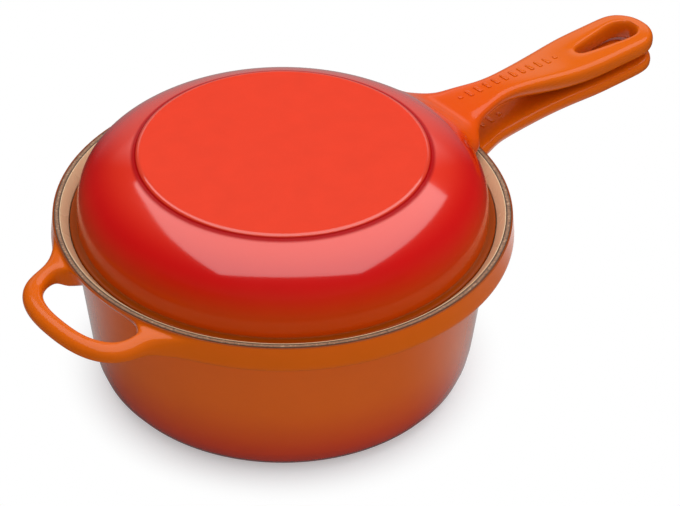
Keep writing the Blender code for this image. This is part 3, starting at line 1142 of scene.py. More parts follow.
@dataclass
class LongHandle:
    """Long flat handle with a waist and a squared end; distances run out from the rim."""

    reach: float = 0.1448
    root_width: float = 0.0380
    waist_width: float = 0.0226
    end_width: float = 0.0386
    waist_at: float = 0.0280
    full_at: float = 0.1000
    flare: float = 0.0045
    flare_from: float = 0.0040
    flare_length: float = 0.0160
    end_round: float = 0.0205
    end_squareness: float = 2.4
    edge: float = 0.0046
    root_edge: float = 0.0095
    edge_zone: Span = (-0.0080, 0.0140)
    squareness: float = 2.9
    crown: float = 0.0007
    side_swell: float = 0.0003
    tip_swell: float = 0.0001
    tip_round: float = 0.0052
    tip_power: float = 2.6
    tip_spread: float = 0.74
    tip_inset: float = 0.55
    tip_crown: float = 0.6
    hole: HangHole = field(default_factory=HangHole)

    @property
    def tip(self) -> float:
        """X of the handle's tip."""
        return RIM_RADIUS + self.reach

    def half_width(self, out: float) -> float:
        """Half width at a distance out from the rim.

        Args:
            out: Distance from the rim.

        Returns:
            Half the width of the plan there.
        """
        waist = self.waist_width / 2.0
        if out < self.waist_at:
            taper = (self.root_width / 2.0 - waist) * (self.waist_at - out) / self.waist_at
            flared = max(self.flare_from - out, 0.0) / self.flare_length
            return waist + taper + self.flare * flared ** 2
        width = mixed(waist, self.end_width / 2.0, smooth_step(out, self.waist_at, self.full_at))
        along = out - (self.reach - self.end_round)
        if along <= 0.0:
            return width
        sine = min(along / self.end_round, 1.0) ** (self.end_squareness / 2.0)
        return width * math.sqrt(max(1.0 - sine * sine, 0.0)) ** (2.0 / self.end_squareness)


@dataclass
class HandleRun:
    """One long handle's way: how its sections follow each other from the casting to the tip."""

    handle: LongHandle
    top: Height
    bottom: Height
    lean: Height
    columns: int
    stations: tuple[float, ...]
    hole_stations: tuple[int, int]
    end_bow: float = 0.0085
    bow_zone: Span = (0.040, 0.014)
    spread_zone: Span = (0.05, 0.10)
    inner_line: Span = (0.50, 0.78)
    outer_line: float = 0.86

    def across(self, column: int, half: float, out: float) -> float:
        """Give the Y of a column's line on the flat top.

        Args:
            column: Number of the line, counted in half columns.
            half: Half width of the section, less its round edge.
            out: Distance from the rim.

        Returns:
            The line's Y.
        """
        lines = {1: mixed(*self.inner_line, smooth_step(out, *self.spread_zone)),
                 3: self.outer_line, self.columns: 1.0}
        return math.copysign(half * lines[abs(column)], column)

    def around(self, row: int) -> tuple[float, float]:
        """Give how high a row lies in the section and how far its side bulges.

        Args:
            row: Number of the row, 0 at the bottom.

        Returns:
            Both as shares from 0 to 1.
        """
        turn = math.pi * (row / HANDLE_ROWS - 0.5)
        squareness = self.handle.squareness
        rise = squared(math.sin(turn), squareness)
        return (1.0 + rise) / 2.0, squared(math.cos(turn), squareness)

    def section(self, x: float, row: int, column: int, bow: float) -> Vector:
        """Place a vertex of the section at a station.

        Args:
            x: Where the section's sides are.
            row: Row of the vertex, 0 at the bottom.
            column: Its column line, counted in half columns.
            bow: How much further out the middle of the section is.

        Returns:
            The place.
        """
        handle = self.handle
        out = x - RIM_RADIUS
        high, bulge = self.around(row)
        half = handle.half_width(out) + handle.side_swell + self.lean(out) * (1.0 - high)
        edge = mixed(handle.root_edge, handle.edge, smooth_step(out, *handle.edge_zone))
        y = self.across(column, half - edge, out)
        if abs(column) == self.columns:
            y = math.copysign(half - edge + edge * bulge, column)
        side = (y / half) ** 2
        place = x + bow * (1.0 - side)
        far = place - RIM_RADIUS
        level = mixed(self.bottom(far), self.top(far), high)
        return Vector((place, y, level - handle.crown * side * high))

    def tip_place(self, row: int, column: int) -> Vector:
        """Place a vertex of the handle's end.

        Args:
            row: Row of the vertex, 0 at the bottom.
            column: Its column line, counted in half columns.

        Returns:
            The place.
        """
        handle = self.handle
        side = column / self.columns
        high, bulge = self.around(row)
        inset = handle.edge * handle.tip_inset * (1.0 - bulge)
        rounding = handle.tip_round * abs(side) ** handle.tip_power
        level = mixed(self.bottom(handle.reach), self.top(handle.reach), high)
        return Vector((handle.tip + handle.tip_swell - rounding - inset,
                       side * (handle.end_width / 2.0 * handle.tip_spread - inset),
                       level - handle.crown * handle.tip_crown * high))

    def build(self, cage: Cage) -> None:
        """Extrude the handle from the selected patch and open its hang hole.

        Args:
            cage: The casting, with the patch selected.
        """
        start, full = (self.handle.tip - back for back in self.bow_zone)
        for number, x in enumerate(self.stations, start=1):
            bow = self.end_bow * smooth_step(x, start, full)
            cage.push(lambda row, column: self.section(x, row, column, bow), number)
        cage.push(self.tip_place, len(self.stations) + 1)
        self.open_hole(cage)

    def open_hole(self, cage: Cage) -> None:
        """Cut the hang hole through the middle column.

        Args:
            cage: The casting.
        """
        handle = self.handle
        hole = handle.hole
        first, final = self.hole_stations
        for row, level, drop in ((HANDLE_ROWS, self.top(handle.reach), -hole.lip_drop),
                                 (0, self.bottom(handle.reach), hole.lip_drop)):
            cage.select_faces(station=self.hole_stations, row=(row, row), column=(-1, 1))
            for spread, sink in ((hole.lip, 0.0), (hole.slack, drop)):
                line = hole.outline(handle.tip, spread, final - first + 1)
                cage.push(lambda station, column: Vector((
                    line[station - first].x,
                    math.copysign(line[station - first].y, column),
                    level + sink)))
            cage.drop_faces()
        cage.bridge_openings()


@dataclass
class GripMarks:
    """Row of small raised bars on top of a long handle, with a pip at each end."""

    start: float = 0.1315
    pitch: float = 0.0064
    count: int = 10
    length: float = 0.0058
    pip_length: float = 0.0026
    width: float = 0.0027
    sideways: float = 0.0022
    depth: float = 0.0016
    rise: float = 0.00055
    edge: float = 0.0006
    edge_facets: int = 3

    def bar(self, name: str, x: float, length: float, level: float) -> bpy.types.Object:
        """Model one bar with rounded edges.

        Args:
            name: Name of the piece.
            x: Its X.
            length: How far it reaches across the handle.
            level: Height of its top.

        Returns:
            The bar.
        """
        deselect()
        bpy.ops.mesh.primitive_cube_add(
            size=1.0, location=(x, self.sideways, level - self.depth / 2.0))
        thing = named(name)
        bpy.ops.transform.resize(value=(self.width, length, self.depth))
        settle_place()
        bevel = thing.modifiers.new("round", "BEVEL")
        bevel.width = self.edge
        bevel.segments = self.edge_facets
        bpy.ops.object.modifier_apply(modifier=bevel.name)
        return thing

    def build(self, name: str, top: Height) -> bpy.types.Object:
        """Model the row on a handle's top.

        Args:
            name: Name of the piece.
            top: Height of the handle's top at a distance from the rim.

        Returns:
            The row as one piece.
        """
        bars = []
        for number in range(-1, self.count + 1):
            x = self.start + self.pitch * number
            length = self.length if 0 <= number < self.count else self.pip_length
            bars.append(self.bar(name, x, length, top(x - RIM_RADIUS) + self.rise))
        for thing in bars:
            thing.select_set(True)
        bpy.ops.object.join()
        bpy.ops.object.shade_smooth_by_angle(angle=SMOOTH_ANGLE)
        return named(name)


@dataclass
class HelperLoop:
    """Loop for the second hand."""

    reach: float = 0.0308
    width: float = 0.0860
    bar: float = 0.0103
    squareness: float = 2.5
    below_rim: float = 0.0045
    thickness: float = 0.0086
    root_rise: float = 0.0022
    root_length: float = 0.0120
    swell: float = 0.0003
    crest: float = 0.36
    bulge: float = 0.58
    turns: tuple[float, ...] = (0.0, 14.0, 28.0, 41.0, 53.0, 64.0, 74.0, 82.5, 90.0)

    def arch(self, inset: float, turn: float) -> Vector:
        """Give a point of an arch in plan.

        Args:
            inset: How far in from the loop's outer edge the arch runs.
            turn: 0 at its side and a right angle at its crown.

        Returns:
            Distance out from the rim, and sideways.
        """
        power = 2.0 / self.squareness
        sine = max(math.sin(turn), 0.0)
        cosine = max(math.cos(turn), 0.0)
        return Vector(((self.reach - inset) * sine ** power,
                       (self.width / 2.0 - inset) * cosine ** power))

    def place(self, turn: float, side: int, row: int, column: int) -> Vector:
        """Place a vertex of the bar's section, whose crest lies nearer to the inner edge.

        Args:
            turn: Where on the arch.
            side: 1 for the half at +Y, -1 for the other.
            row: Row of the vertex, 0 at the bottom.
            column: 1, 0 or -1 from the outer edge to the inner one.

        Returns:
            The place.
        """
        outer = self.arch(-self.swell, turn)
        inner = self.arch(self.bar + self.swell, turn)
        middle = inner.lerp(outer, self.crest if row > 1 else 0.5)
        angle = math.pi * (row / LOOP_ROWS - 0.5)
        plan = middle
        if column:
            reach = mixed(1.0, math.cos(angle), self.bulge)
            plan = middle.lerp(outer if column > 0 else inner, reach)
        crown = RIM_HEIGHT - self.below_rim
        bottom = crown - self.thickness
        top = crown + self.root_rise * (1.0 - smooth_step(plan.x, 0.0, self.root_length))
        return Vector((-(RIM_RADIUS + plan.x), side * plan.y,
                       mixed(bottom, top, (1.0 + math.sin(angle)) / 2.0)))


# Castings


@dataclass
class SaucepanCasting:
    """Saucepan with its long handle and helper loop, cast in one.

    Shares say where a ring lies on its stretch, and hidden rings lie behind the lining.
    """

    handle: LongHandle = field(default_factory=LongHandle)
    loop: HelperLoop = field(default_factory=HelperLoop)
    rim_land: float = 0.0040
    rim_edge: float = 0.0009
    rim_coat: float = 0.0008
    rim_gap: float = 0.0002
    rim_step: float = 0.0008
    # How far in from the rim and down from its top the painted shade on the rim's outer rounding
    # starts
    edge_shade_in: float = 0.0013
    edge_shade_drop: float = 0.0004
    collar_height: float = 0.0142
    collar_flare: float = 0.0015
    collar_overhang: float = 0.0105
    collar_drop: float = 0.0010
    side_draft: float = math.radians(6.6)
    base_radius: float = 0.0300
    base_ring: float = 0.0520
    base_round: float = 0.0185
    side_shares: tuple[float, ...] = (0.42, 0.78, 0.90)
    overhang_share: float = 0.42
    collar_shares: tuple[float, ...] = (0.29, 0.57, 0.86, 0.965)
    wall: float = 0.0050
    floor: float = 0.0055
    bevel_width: float = 0.0042
    bevel_drop: float = 0.0045
    seat_depth: float = 0.0084
    seat_round: float = 0.0015
    seat_edge: float = 0.0010
    coat: float = 0.0006
    hidden: tuple[Span, ...] = (
        (0.1147, 0.0965), (0.1112, 0.0914), (0.1108, 0.0880), (0.1040, 0.0876),
        (0.1000, 0.0500), (0.0972, 0.0200), (0.0925, 0.0060), (0.0820, 0.0030),
        (0.0300, 0.0032))
    handle_below_rim: float = 0.0032
    handle_thickness: float = 0.0099
    handle_sag: float = 0.0080
    handle_rise_zone: Span = (0.0180, 0.0840)
    handle_undercut: float = 0.0026
    undercut_zone: Span = (0.0020, 0.0200)
    stations: tuple[float, ...] = (
        0.1245, 0.131, 0.138, 0.146, 0.156, 0.168, 0.180, 0.192, 0.2035, 0.2115, 0.2195,
        0.2275, 0.2355, 0.2425, 0.2487)
    hole_stations: tuple[int, int] = (9, 15)
    recess_turns: Span = (13.4, 12.3)
    recess: tuple[Span, ...] = (
        (0.1080, 0.0836), (0.1094, 0.0856), (0.1120, 0.0878), (0.1140, 0.0898),
        (0.1151, 0.0920), (0.1155, 0.0944))

    @property
    def land(self) -> Span:
        """Inner and outer radius of the rim's matt coat."""
        return RIM_RADIUS - self.rim_land + self.coat, RIM_RADIUS - self.rim_edge

    def outside(self) -> list[Vector]:
        """Give the cage's rings from the base to the rim.

        Returns:
            Radius and height of each ring.
        """
        body = RIM_RADIUS - self.collar_overhang
        top = RIM_HEIGHT - self.collar_height - self.collar_drop
        foot = Vector((body - top * math.tan(self.side_draft), 0.0))
        armpit = Vector((body, top))
        lip = Vector((RIM_RADIUS + self.collar_flare, RIM_HEIGHT - self.collar_height))
        rim = Vector((RIM_RADIUS, RIM_HEIGHT - self.rim_gap))
        base = corner(Vector((0.0, 0.0)), foot, armpit, self.base_round)
        rings = [Vector((self.base_ring, 0.0))] + base
        rings += [base[2].lerp(armpit, share) for share in self.side_shares]
        rings += [armpit, armpit.lerp(lip, self.overhang_share), lip]
        rings += [lip.lerp(rim, share) for share in self.collar_shares]
        return rings + [rim, rim - Vector((self.rim_step, 0.0))]

    def inside(self, depth: float) -> list[Vector]:
        """Give the inner side from the floor to the mouth.

        Args:
            depth: How far below the pale enamel.

        Returns:
            Radius and height of each point.
        """
        seat_radius = RIM_RADIUS - self.rim_land - self.bevel_width
        seat = RIM_HEIGHT - self.seat_depth
        mouth = RIM_RADIUS - self.collar_overhang - self.wall
        foot = mouth - (seat - self.floor) * math.tan(self.side_draft)
        corners = [
            (AXIS_GAP, self.floor, 0.0),
            (foot, self.floor, self.base_round - self.wall),
            (mouth, seat, self.seat_round),
            (seat_radius, seat, self.seat_edge),
            (seat_radius, RIM_HEIGHT - self.bevel_drop, self.seat_edge),
            (seat_radius + self.bevel_width, RIM_HEIGHT, 0.0),
        ]
        return parallel(rounded(corners, ROUND_STEPS), depth)

    def handle_top(self, out: float) -> float:
        """Height of the long handle's top at a distance from the rim."""
        sag = self.handle_sag * (1.0 - smooth_step(out, *self.handle_rise_zone))
        return RIM_HEIGHT - self.handle_below_rim - sag

    def handle_bottom(self, out: float) -> float:
        """Height of the long handle's underside at a distance from the rim."""
        return self.handle_top(out) - self.handle_thickness

    def handle_lean(self, out: float) -> float:
        """How much wider the long handle's underside is than its top."""
        return -self.handle_undercut * smooth_step(out, *self.undercut_zone)

    def build_casting(self) -> bpy.types.Object:
        """Model the saucepan, its handle and its loop as one smooth form.

        Returns:
            The casting.
        """
        rings = self.outside()
        lip = rings.index(max(rings, key=lambda point: point.x)) + 1
        cage = Cage("saucepan_casting", self.base_radius / LIMIT_SHARE, 0.0, SEGMENTS)
        cage.grow(widened(rings + path(*self.hidden)))
        cage.pick((lip - 3, lip + 1), 0.0, (-3, 3))
        HandleRun(self.handle, self.handle_top, self.handle_bottom, self.handle_lean, 3,
                  self.stations, self.hole_stations).build(cage)
        self.sink_recess(cage, (lip - 2, lip + 3))
        for side in (1, -1):
            self.grow_loop(cage, lip, side)
        cage.merge()
        return cage.finished(CAGE_LEVELS)

    def sink_recess(self, cage: Cage, rings: tuple[int, int]) -> None:
        """Push the collar in under the rim where the fingers go between the loop's arms.

        Args:
            cage: The casting.
            rings: First and last ring of the recess.
        """
        flank, corner_turn = (math.radians(turn) for turn in self.recess_turns)
        recess = widened(path(*self.recess))
        cage.pick(rings, math.pi, (-3, 3))
        cage.push(lambda row, column: polar(
            recess[row].x, math.pi + corner_turn * column / 3.0, recess[row].y), RECESS_STATION)
        cage.turn_border(rings, math.pi, 3, flank)

    def grow_loop(self, cage: Cage, lip: int, side: int) -> None:
        """Extrude one half of the helper loop from the collar to its crown.

        Args:
            cage: The casting.
            lip: Ring of the collar's lower edge.
            side: 1 for the half at +Y, -1 for the other.
        """
        columns = (-7, -3) if side > 0 else (3, 7)
        cage.pick((lip, lip + LOOP_ROWS), math.pi, columns)
        for number, degrees in enumerate(self.loop.turns, start=LOOP_STATION):
            turn = math.radians(degrees)
            cage.push(lambda row, column: self.loop.place(
                turn, side, row, (abs(column) - 5) // 2), number)
        cage.drop_faces()

    def build_lining(self) -> bpy.types.Object:
        """Model the pale enamel inside.

        Returns:
            The lining.
        """
        front = self.inside(0.0)
        back = self.inside(self.coat)
        back[-1] = Vector((back[-1].x, front[-1].y))
        return turned("saucepan_glaze", front + back[::-1])

    def build_rim_coat(self) -> bpy.types.Object:
        """Model the matt coat on top of the rim."""
        return flat_band("saucepan_rim_ground", self.land, RIM_HEIGHT - self.rim_coat, RIM_HEIGHT)


@dataclass
class LidCasting:
    """Skillet that is the lid, upside down, with its long handle.

    Steps say how far out and down from the disc's edge a ring lies.
    """

    handle: LongHandle = field(default_factory=lambda: LongHandle(flare=0.0105))
    base: float = 0.0893
    height: float = 0.0434
    flange_radius: float = 0.1094
    flange_width: float = 0.0040
    flange_bottom: float = 0.0902
    flange_top: float = 0.0937
    flange_fillet: Span = (0.0006, 0.0003)
    flange_edge: Span = (0.0014, 0.0002)
    flange_face: float = 0.0016
    flange_chamfer: float = 0.0008
    flange_lip: Span = (0.0006, 0.0002)
    # How far above the flange's top the painted shade on the flange reaches
    edge_shade_rise: float = 0.0008
    shoulder_width: float = 0.0293
    shoulder_slope: float = math.radians(24.0)
    shoulder_pull: float = 0.0335
    side_pull: float = 0.0151
    side_straight: float = 0.0015
    shoulder_steps: int = 7
    disc_ledge: float = 0.0016
    disc_step: float = 0.0012
    disc_rings: tuple[float, ...] = (0.024, 0.045, 0.064)
    steps: tuple[Span, ...] = (
        (-0.0034, 0.0), (-0.0020, 0.00004), (-0.0009, 0.00028), (-0.0001, 0.0008),
        (0.0004, 0.0014), (0.0011, 0.00175), (0.0023, 0.00185))
    wall: float = 0.0042
    coat: float = 0.0006
    gap: float = 0.0003
    hidden_gap: float = 0.0015
    hidden_ring: float = 0.0300
    handle_above_rim: float = 0.0104
    handle_thickness: float = 0.0116
    handle_crest: float = 0.0030
    fall_zone: Span = (0.0300, 0.0850)
    root_above_rim: float = 0.0010
    free_zone: Span = (-0.0100, 0.0100)
    handle_arch: float = 0.0016
    arch_zone: Span = (-0.0020, 0.0120)
    arch_end_zone: Span = (0.0300, 0.0600)
    foot_flare: float = 0.0060
    foot_zone: Span = (-0.0080, 0.0040)
    handle_undercut: float = 0.0042
    undercut_zone: Span = (-0.0020, 0.0100)
    slim_share: float = 0.5
    slim_zone: Span = (0.0400, 0.0700)
    corner_turns: tuple[float, ...] = (18.75, 18.75, 18.2, 16.8, 14.2)
    stations: tuple[float, ...] = (
        0.1095, 0.1150, 0.1205, 0.127, 0.134, 0.142, 0.151, 0.162, 0.174, 0.186, 0.1965, 0.205,
        0.213, 0.221, 0.229, 0.2365, 0.243, 0.2487)
    hole_stations: tuple[int, int] = (11, 18)

    @property
    def top(self) -> float:
        """Height of the disc on top."""
        return self.base + self.height

    @property
    def radius(self) -> float:
        """Radius of the upright side."""
        return self.flange_radius - self.flange_width

    @property
    def disc_radius(self) -> float:
        """Radius of the disc on top."""
        return self.radius - self.shoulder_width - self.disc_ledge

    @property
    def land(self) -> Span:
        """Inner and outer radius of the rim's matt coat."""
        return self.radius - self.wall + self.coat + self.gap, self.flange_radius

    def shoulder(self) -> list[Vector]:
        """Give the shoulder's curve from the disc's ledge to the upright side.

        Returns:
            Its four control points.
        """
        start = Vector((self.radius - self.shoulder_width, self.top - self.disc_step))
        end = Vector((self.radius, self.flange_top + self.side_straight))
        return [start, start + spoke(-self.shoulder_slope) * self.shoulder_pull,
                end + Vector((0.0, self.side_pull)), end]

    def shoulder_cage(self) -> list[Vector]:
        """Give the cage's rings down the shoulder.

        Returns:
            Radius and height of each ring.
        """
        curve = self.shoulder()
        step = 1.0 / self.shoulder_steps
        return [blossom(curve, ((number - 1) * step, number * step, (number + 1) * step))
                for number in range(1, self.shoulder_steps + 1)]

    def handle_top(self, out: float) -> float:
        """Height of the long handle's top at a distance from the rim."""
        crest = self.handle_crest * (1.0 - smooth_step(out, *self.fall_zone))
        return RIM_HEIGHT + self.handle_above_rim + crest

    def handle_bottom(self, out: float) -> float:
        """Give the height of the long handle's underside.

        Args:
            out: Distance from the rim.

        Returns:
            The height, which rises a little behind the root.
        """
        arch = smooth_step(out, *self.arch_zone) * (1.0 - smooth_step(out, *self.arch_end_zone))
        underside = self.handle_top(out) - self.handle_thickness + self.handle_arch * arch
        return mixed(RIM_HEIGHT + self.root_above_rim, underside,
                     smooth_step(out, *self.free_zone))

    def handle_lean(self, out: float) -> float:
        """Say how much wider the long handle's underside is than its top.

        Args:
            out: Distance from the rim.

        Returns:
            The extra half width, negative where the underside is narrower.
        """
        foot = self.foot_flare * (1.0 - smooth_step(out, *self.foot_zone))
        slim = mixed(1.0, self.slim_share, smooth_step(out, *self.slim_zone))
        return foot - self.handle_undercut * slim * smooth_step(out, *self.undercut_zone)

    def build_casting(self) -> bpy.types.Object:
        """Model the skillet and its handle as one smooth form.

        Returns:
            The casting.
        """
        start, *rings = path(*((radius, self.top) for radius in self.disc_rings))
        disc = Vector((self.disc_radius, self.top))
        rings += [disc + Vector((out, -drop)) for out, drop in self.steps]
        top_ring = len(rings) + 3
        shoulder = self.shoulder_cage()
        side = self.radius
        flange = self.flange_radius
        inner, _ = self.land
        iron = self.wall - self.coat - self.hidden_gap
        hidden_top = self.top - self.disc_step - iron
        top = self.flange_top
        bottom = self.flange_bottom
        rings += shoulder + path(
            (side, top + self.flange_fillet[1]), (side + self.flange_fillet[0], top),
            (flange - self.flange_edge[0], top), (flange, top - self.flange_edge[1]),
            (flange, top - self.flange_face), (flange, bottom),
            (flange - self.flange_chamfer, bottom), (inner + self.flange_lip[0], bottom),
            (inner, bottom + self.flange_lip[1]))
        rings += parallel(shoulder, iron)[::-1]
        rings += path((disc.x, hidden_top), (self.hidden_ring, hidden_top))
        cage = Cage("lid_casting", start.x / LIMIT_SHARE, start.y, SEGMENTS)
        cage.grow(widened(rings))
        cage.pick((top_ring, top_ring + HANDLE_ROWS), 0.0, (-5, 5))
        self.fit_patch(cage)
        HandleRun(self.handle, self.handle_top, self.handle_bottom, self.handle_lean, 5,
                  self.stations, self.hole_stations).build(cage)
        return cage.finished(CAGE_LEVELS)

    def fit_patch(self, cage: Cage) -> None:
        """Number the patch's rows from the bottom and draw its upper corners in.

        Args:
            cage: The casting, with the patch selected.
        """
        with cage.editing() as (form, layers):
            for vertex in form.verts:
                row = HANDLE_ROWS - vertex[layers["row"]]
                vertex[layers["row"]] = row
                if vertex.select and abs(vertex[layers["column"]]) == 5:
                    turn = math.copysign(math.radians(self.corner_turns[row]), vertex.co.y)
                    vertex.co = polar(vertex.co.xy.length, turn, vertex.co.z)

    def build_lining(self) -> bpy.types.Object:
        """Model the dark enamel on the cooking side.

        Returns:
            The lining.
        """
        curve = self.shoulder()
        shares = [number / LINING_STEPS for number in range(LINING_STEPS + 1)]
        line = [blossom(curve, (share, share, share)) for share in shares]
        front = self.lined(line, self.wall)
        back = self.lined(line, self.wall - self.coat)
        return turned("lid_glaze", back[::-1] + front)

    def lined(self, line: list[Vector], depth: float) -> list[Vector]:
        """Give the cooking side, at a depth from the curve, from its lower edge inwards."""
        shoulder = parallel(line, depth)
        return path((shoulder[-1].x, self.base), *shoulder[::-1], (AXIS_GAP, shoulder[0].y))

    def build_rim_coat(self) -> bpy.types.Object:
        """Model the matt coat on the skillet's rim."""
        return flat_band("lid_rim_ground", self.land, self.base + self.coat, self.base)


# Studio


@dataclass
class Studio:
    """Floor, lights, background and camera; a zone says where a blend starts and is full."""

    camera_distance: float = 1.4
    camera_lens: float = 144.33
    camera_reach: Span = (0.05, 50.0)
    sensor: float = 36.0
    azimuth: float = math.radians(-39.6)
    elevation: float = math.radians(35.396)
    aim_height: float = RIM_HEIGHT
    yaw: float = math.radians(1.196)
    pitch: float = math.radians(0.989)
    roll: float = math.radians(-0.024)
    softbox_front: Span = (-0.62, 1.93)
    softbox_back: Span = (0.94, 0.96)
    softbox_width: float = 1.86
    softbox_right: float = 0.12
    softbox_level: float = 1.95
    side_zone: Span = (-0.6, 0.1)
    band_low: Span = (0.22, 0.34)
    band_high: Span = (0.44, 0.54)
    band_spread: Span = (0.83, 0.97)
    low_back: float = 0.30
    mirror: tuple[float, float, float] = (0.0, 0.035, 0.95)
    fill: tuple[float, float, float] = (0.74, 0.41, 0.30)
    fill_turn: float = math.radians(-45.0)
    floor_size: float = 12.0
    floor_drop: float = 0.0002
    floor_colour: Colour = (0.75, 0.84, 0.87, 1.0)
    floor_gloss: float = 0.25
    floor_glow: float = 0.29
    white_zone: Span = (0.083, 0.121)
    floor_spread: Span = (0.30, 0.80)
    floor_turn: float = math.radians(9.0)
    floor_shown: tuple[float, float, float] = (0.08, 0.38, 1.0)
    floor_far_shown: tuple[float, float, float] = (0.0, 0.03, 0.30)
    floor_far: Span = (0.20, 0.30)

    def place_camera(self) -> None:
        """Set the camera at the photograph's place."""
        data = bpy.data.cameras.new("camera")
        data.lens = self.camera_lens
        data.sensor_width = self.sensor
        data.clip_start, data.clip_end = self.camera_reach
        camera = bpy.data.objects.new("camera", data)
        bpy.context.scene.collection.objects.link(camera)
        back = Vector((0.0, -math.cos(self.elevation), math.sin(self.elevation)))
        right = Vector((1.0, 0.0, 0.0))
        level = Matrix((right, back.cross(right), back))
        lean, tilt, turn, around = (Matrix.Rotation(angle, 3, axis) for angle, axis in (
            (self.roll, "Z"), (self.pitch, "X"), (self.yaw, "Y"), (self.azimuth, "Z")))
        aim = lean @ tilt @ turn @ level @ around.transposed()
        place = around @ (Vector((0.0, 0.0, self.aim_height)) + back * self.camera_distance)
        camera.matrix_world = Matrix.Translation(place) @ aim.transposed().to_4x4()
        bpy.context.scene.camera = camera

    def room(self, sheet: NodeSheet, place: object, levels: tuple[float, float, float],
             spread: Span, turn: float = 0.0) -> bpy.types.NodeSocket:
        """Give the level of the room in a direction.

        Args:
            sheet: Node tree that needs it.
            place: The direction or place seen from the pan.
            levels: Levels in front, at the sides and behind.
            spread: Cosine of the angle from straight back where the back starts and is full.
            turn: How far to the right the back is turned, in radians.

        Returns:
            The level.
        """
        x, y, _ = sheet.parts(place)
        back = self.azimuth - turn
        front, side, behind = levels
        tiny = 1e-6
        away = sheet.plus(sheet.times(x, -math.sin(back)), sheet.times(y, math.cos(back)))
        across = sheet.plus(sheet.times(x, x), sheet.times(y, y))
        share = sheet.math("DIVIDE", away, sheet.math("SQRT", sheet.plus(across, tiny)))
        level = sheet.mix(sheet.ease(share, *self.side_zone), front, side)
        return sheet.mix(sheet.ease(share, *spread), level, behind)

    def make_floor(self) -> None:
        """Lay the pale floor, which keeps the shadow near the pan and is plain white far off."""
        deselect()
        bpy.ops.mesh.primitive_plane_add(
            size=self.floor_size, location=(0.0, 0.0, -self.floor_drop))
        floor = bpy.context.active_object
        floor.name = "floor"
        settle_place()
        paint = Paint("floor_white")
        paint.set(Base_Color=self.floor_colour, Roughness=self.floor_gloss)
        sheet = paint.sheet
        place = sheet.here()
        measure = sheet.add("ShaderNodeVectorMath", operation="LENGTH")
        sheet.feed(measure.inputs[0], place)
        length = measure.outputs["Value"]
        ray = sheet.add("ShaderNodeLightPath").outputs
        lit = sheet.join("ShaderNodeAddShader", None, paint.shader, sheet.glow(self.floor_glow))
        far = sheet.ease(length, *self.white_zone)
        seen = sheet.join("ShaderNodeMixShader", far, lit, sheet.glow(1.0))
        mirrored = sheet.glow(sheet.mix(
            sheet.ease(length, *self.floor_far),
            self.room(sheet, place, self.floor_shown, self.floor_spread, self.floor_turn),
            self.room(sheet, place, self.floor_far_shown, self.band_spread)))
        plain = sheet.join("ShaderNodeMixShader", ray["Is Glossy Ray"], paint.shader, mirrored)
        whole = sheet.join("ShaderNodeMixShader", ray["Is Camera Ray"], plain, seen)
        output = sheet.tree.nodes["Material Output"]
        sheet.tree.links.new(whole.outputs[0], output.inputs["Surface"])
        floor.data.materials.append(paint.material)

    def hang_softbox(self) -> None:
        """Hang the wide soft light over the pan."""
        data = bpy.data.lights.new("softbox", "AREA")
        data.shape = "RECTANGLE"
        front = Vector((self.softbox_right, *self.softbox_front))
        back = Vector((self.softbox_right, *self.softbox_back))
        data.size = self.softbox_width
        data.size_y = (back - front).length
        data.energy = self.softbox_level * math.pi * data.size * data.size_y
        lamp = bpy.data.objects.new("softbox", data)
        lamp.visible_camera = False
        bpy.context.scene.collection.objects.link(lamp)
        around = Matrix.Rotation(self.azimuth, 4, "Z")
        lean = Matrix.Rotation(math.atan2(back.z - front.z, back.y - front.y), 4, "X")
        lamp.matrix_world = around @ Matrix.Translation((front + back) / 2.0) @ lean

    def make_world(self) -> None:
        """Give the room a white back, a dim front and an even fill."""
        world = bpy.data.worlds.new("room")
        bpy.context.scene.world = world
        world.use_nodes = True
        sheet = NodeSheet(world.node_tree)
        place = sheet.add("ShaderNodeTexCoord").outputs["Generated"]
        height = sheet.parts(place)[2]
        front, side, _ = self.mirror
        low = self.room(sheet, place, (front, side, self.low_back), self.band_spread)
        high = self.room(sheet, place, self.mirror, self.band_spread)
        band_level = sheet.mix(sheet.ease(height, *self.band_low), low, high)
        mirror = sheet.mix(sheet.ease(height, *self.band_high), band_level, side)
        fill = self.room(sheet, place, self.fill, self.floor_spread, self.fill_turn)
        ray = sheet.add("ShaderNodeLightPath").outputs
        filled = sheet.mix(ray["Is Glossy Ray"], fill, mirror)
        seen = sheet.mix(ray["Is Camera Ray"], filled, 1.0)
        sheet.feed_all(world.node_tree.nodes["Background"], Strength=seen,
                       Color=(1.0, 1.0, 1.0, 1.0))
        bpy.context.scene.view_settings.view_transform = "Standard"


# Pieces in order


ORANGE = shade(217, 96, 6)


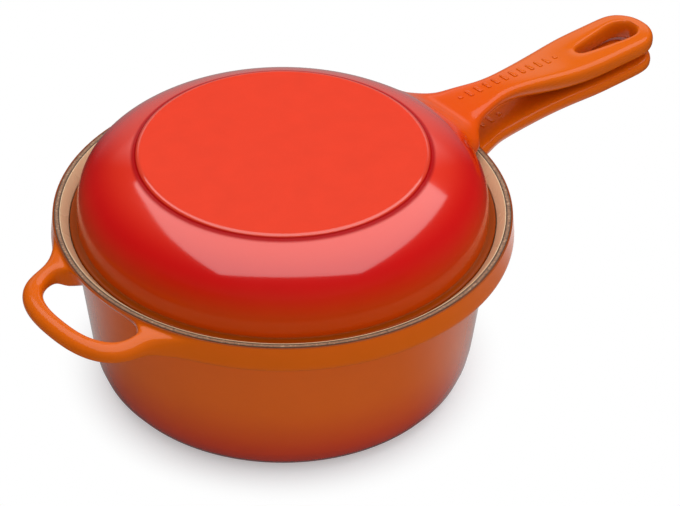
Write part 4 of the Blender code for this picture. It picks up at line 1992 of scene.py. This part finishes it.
def build_saucepan(shop: Workshop) -> None:
    """Build and dress the saucepan.

    Args:
        shop: Node groups.
    """
    pan = SaucepanCasting()
    enamel = FlameFinish(
        "saucepan_enamel", low_colour=shade(206, 36, 22), high_colour=shade(230, 98, 8),
        root_colour=ORANGE, handle_colour=ORANGE, flame_zone=(-0.004, 0.050),
        handle_zone=(0.117, 0.119), coat_zone=(-0.02, -0.01),
        # Painted shade on the rim's outer rounding
        edge=PaintedEdgeShade(RIM_RADIUS - pan.edge_shade_in, RIM_HEIGHT - pan.edge_shade_drop, above=True,
                       colour=shade(96, 48, 18)),
    ).make(shop)
    settle(pan.build_casting(), enamel, Body.SAUCEPAN, Slot.ORANGE,
           "saucepan_bowl", "saucepan_handle", "helper_handle")
    marks = GripMarks(start=0.1290, count=4).build("saucepan_handle_grip", pan.handle_top)
    settle(marks, enamel, Body.SAUCEPAN, Slot.ORANGE)
    settle(pan.build_lining(), SandFinish().make(shop), Body.SAUCEPAN, Slot.SAND,
           "saucepan_lining")
    settle(pan.build_rim_coat(), GroundFinish("rim_ground", land=pan.land).make(shop),
           Body.SAUCEPAN, Slot.GROUND, "saucepan_rim_coat")


def build_lid(shop: Workshop) -> None:
    """Build and dress the skillet that is the lid.

    Args:
        shop: Node groups.
    """
    lid = LidCasting()
    enamel = FlameFinish(
        "lid_enamel", low_colour=shade(214, 74, 4), high_colour=shade(206, 6, 5),
        root_colour=shade(222, 78, 6), handle_colour=ORANGE, flame_zone=(0.096, 0.121),
        handle_zone=(0.094, 0.103), handle_by=Measure.ALONG, coat_zone=(0.104, 0.117),
        # Painted shade on the flange, in the crevice between the dome and the rim
        edge=PaintedEdgeShade(lid.radius, lid.flange_top + lid.edge_shade_rise, above=False,
                       colour=shade(150, 62, 4)),
        disc_finish=DiscFinish(lid.disc_radius),
    ).make(shop)
    settle(lid.build_casting(), enamel, Body.LID, Slot.RED, "lid_bowl", "lid_handle")
    marks = GripMarks().build("lid_handle_grip", lid.handle_top)
    settle(marks, enamel, Body.LID, Slot.ORANGE)
    settle(lid.build_lining(), BlackFinish().make(shop), Body.LID, Slot.BLACK, "lid_lining")
    settle(lid.build_rim_coat(), GroundFinish("lid_ground", land=lid.land).make(shop),
           Body.LID_RIM, Slot.GROUND, "lid_rim_coat")


def main() -> None:
    """Build and dress each piece in turn, then the studio round them."""
    logging.basicConfig(level=logging.INFO, format="%(message)s")
    shop = Workshop()
    build_saucepan(shop)
    build_lid(shop)
    studio = Studio()
    studio.make_floor()
    studio.hang_softbox()
    studio.make_world()
    studio.place_camera()


if __name__ == "__main__":
    main()
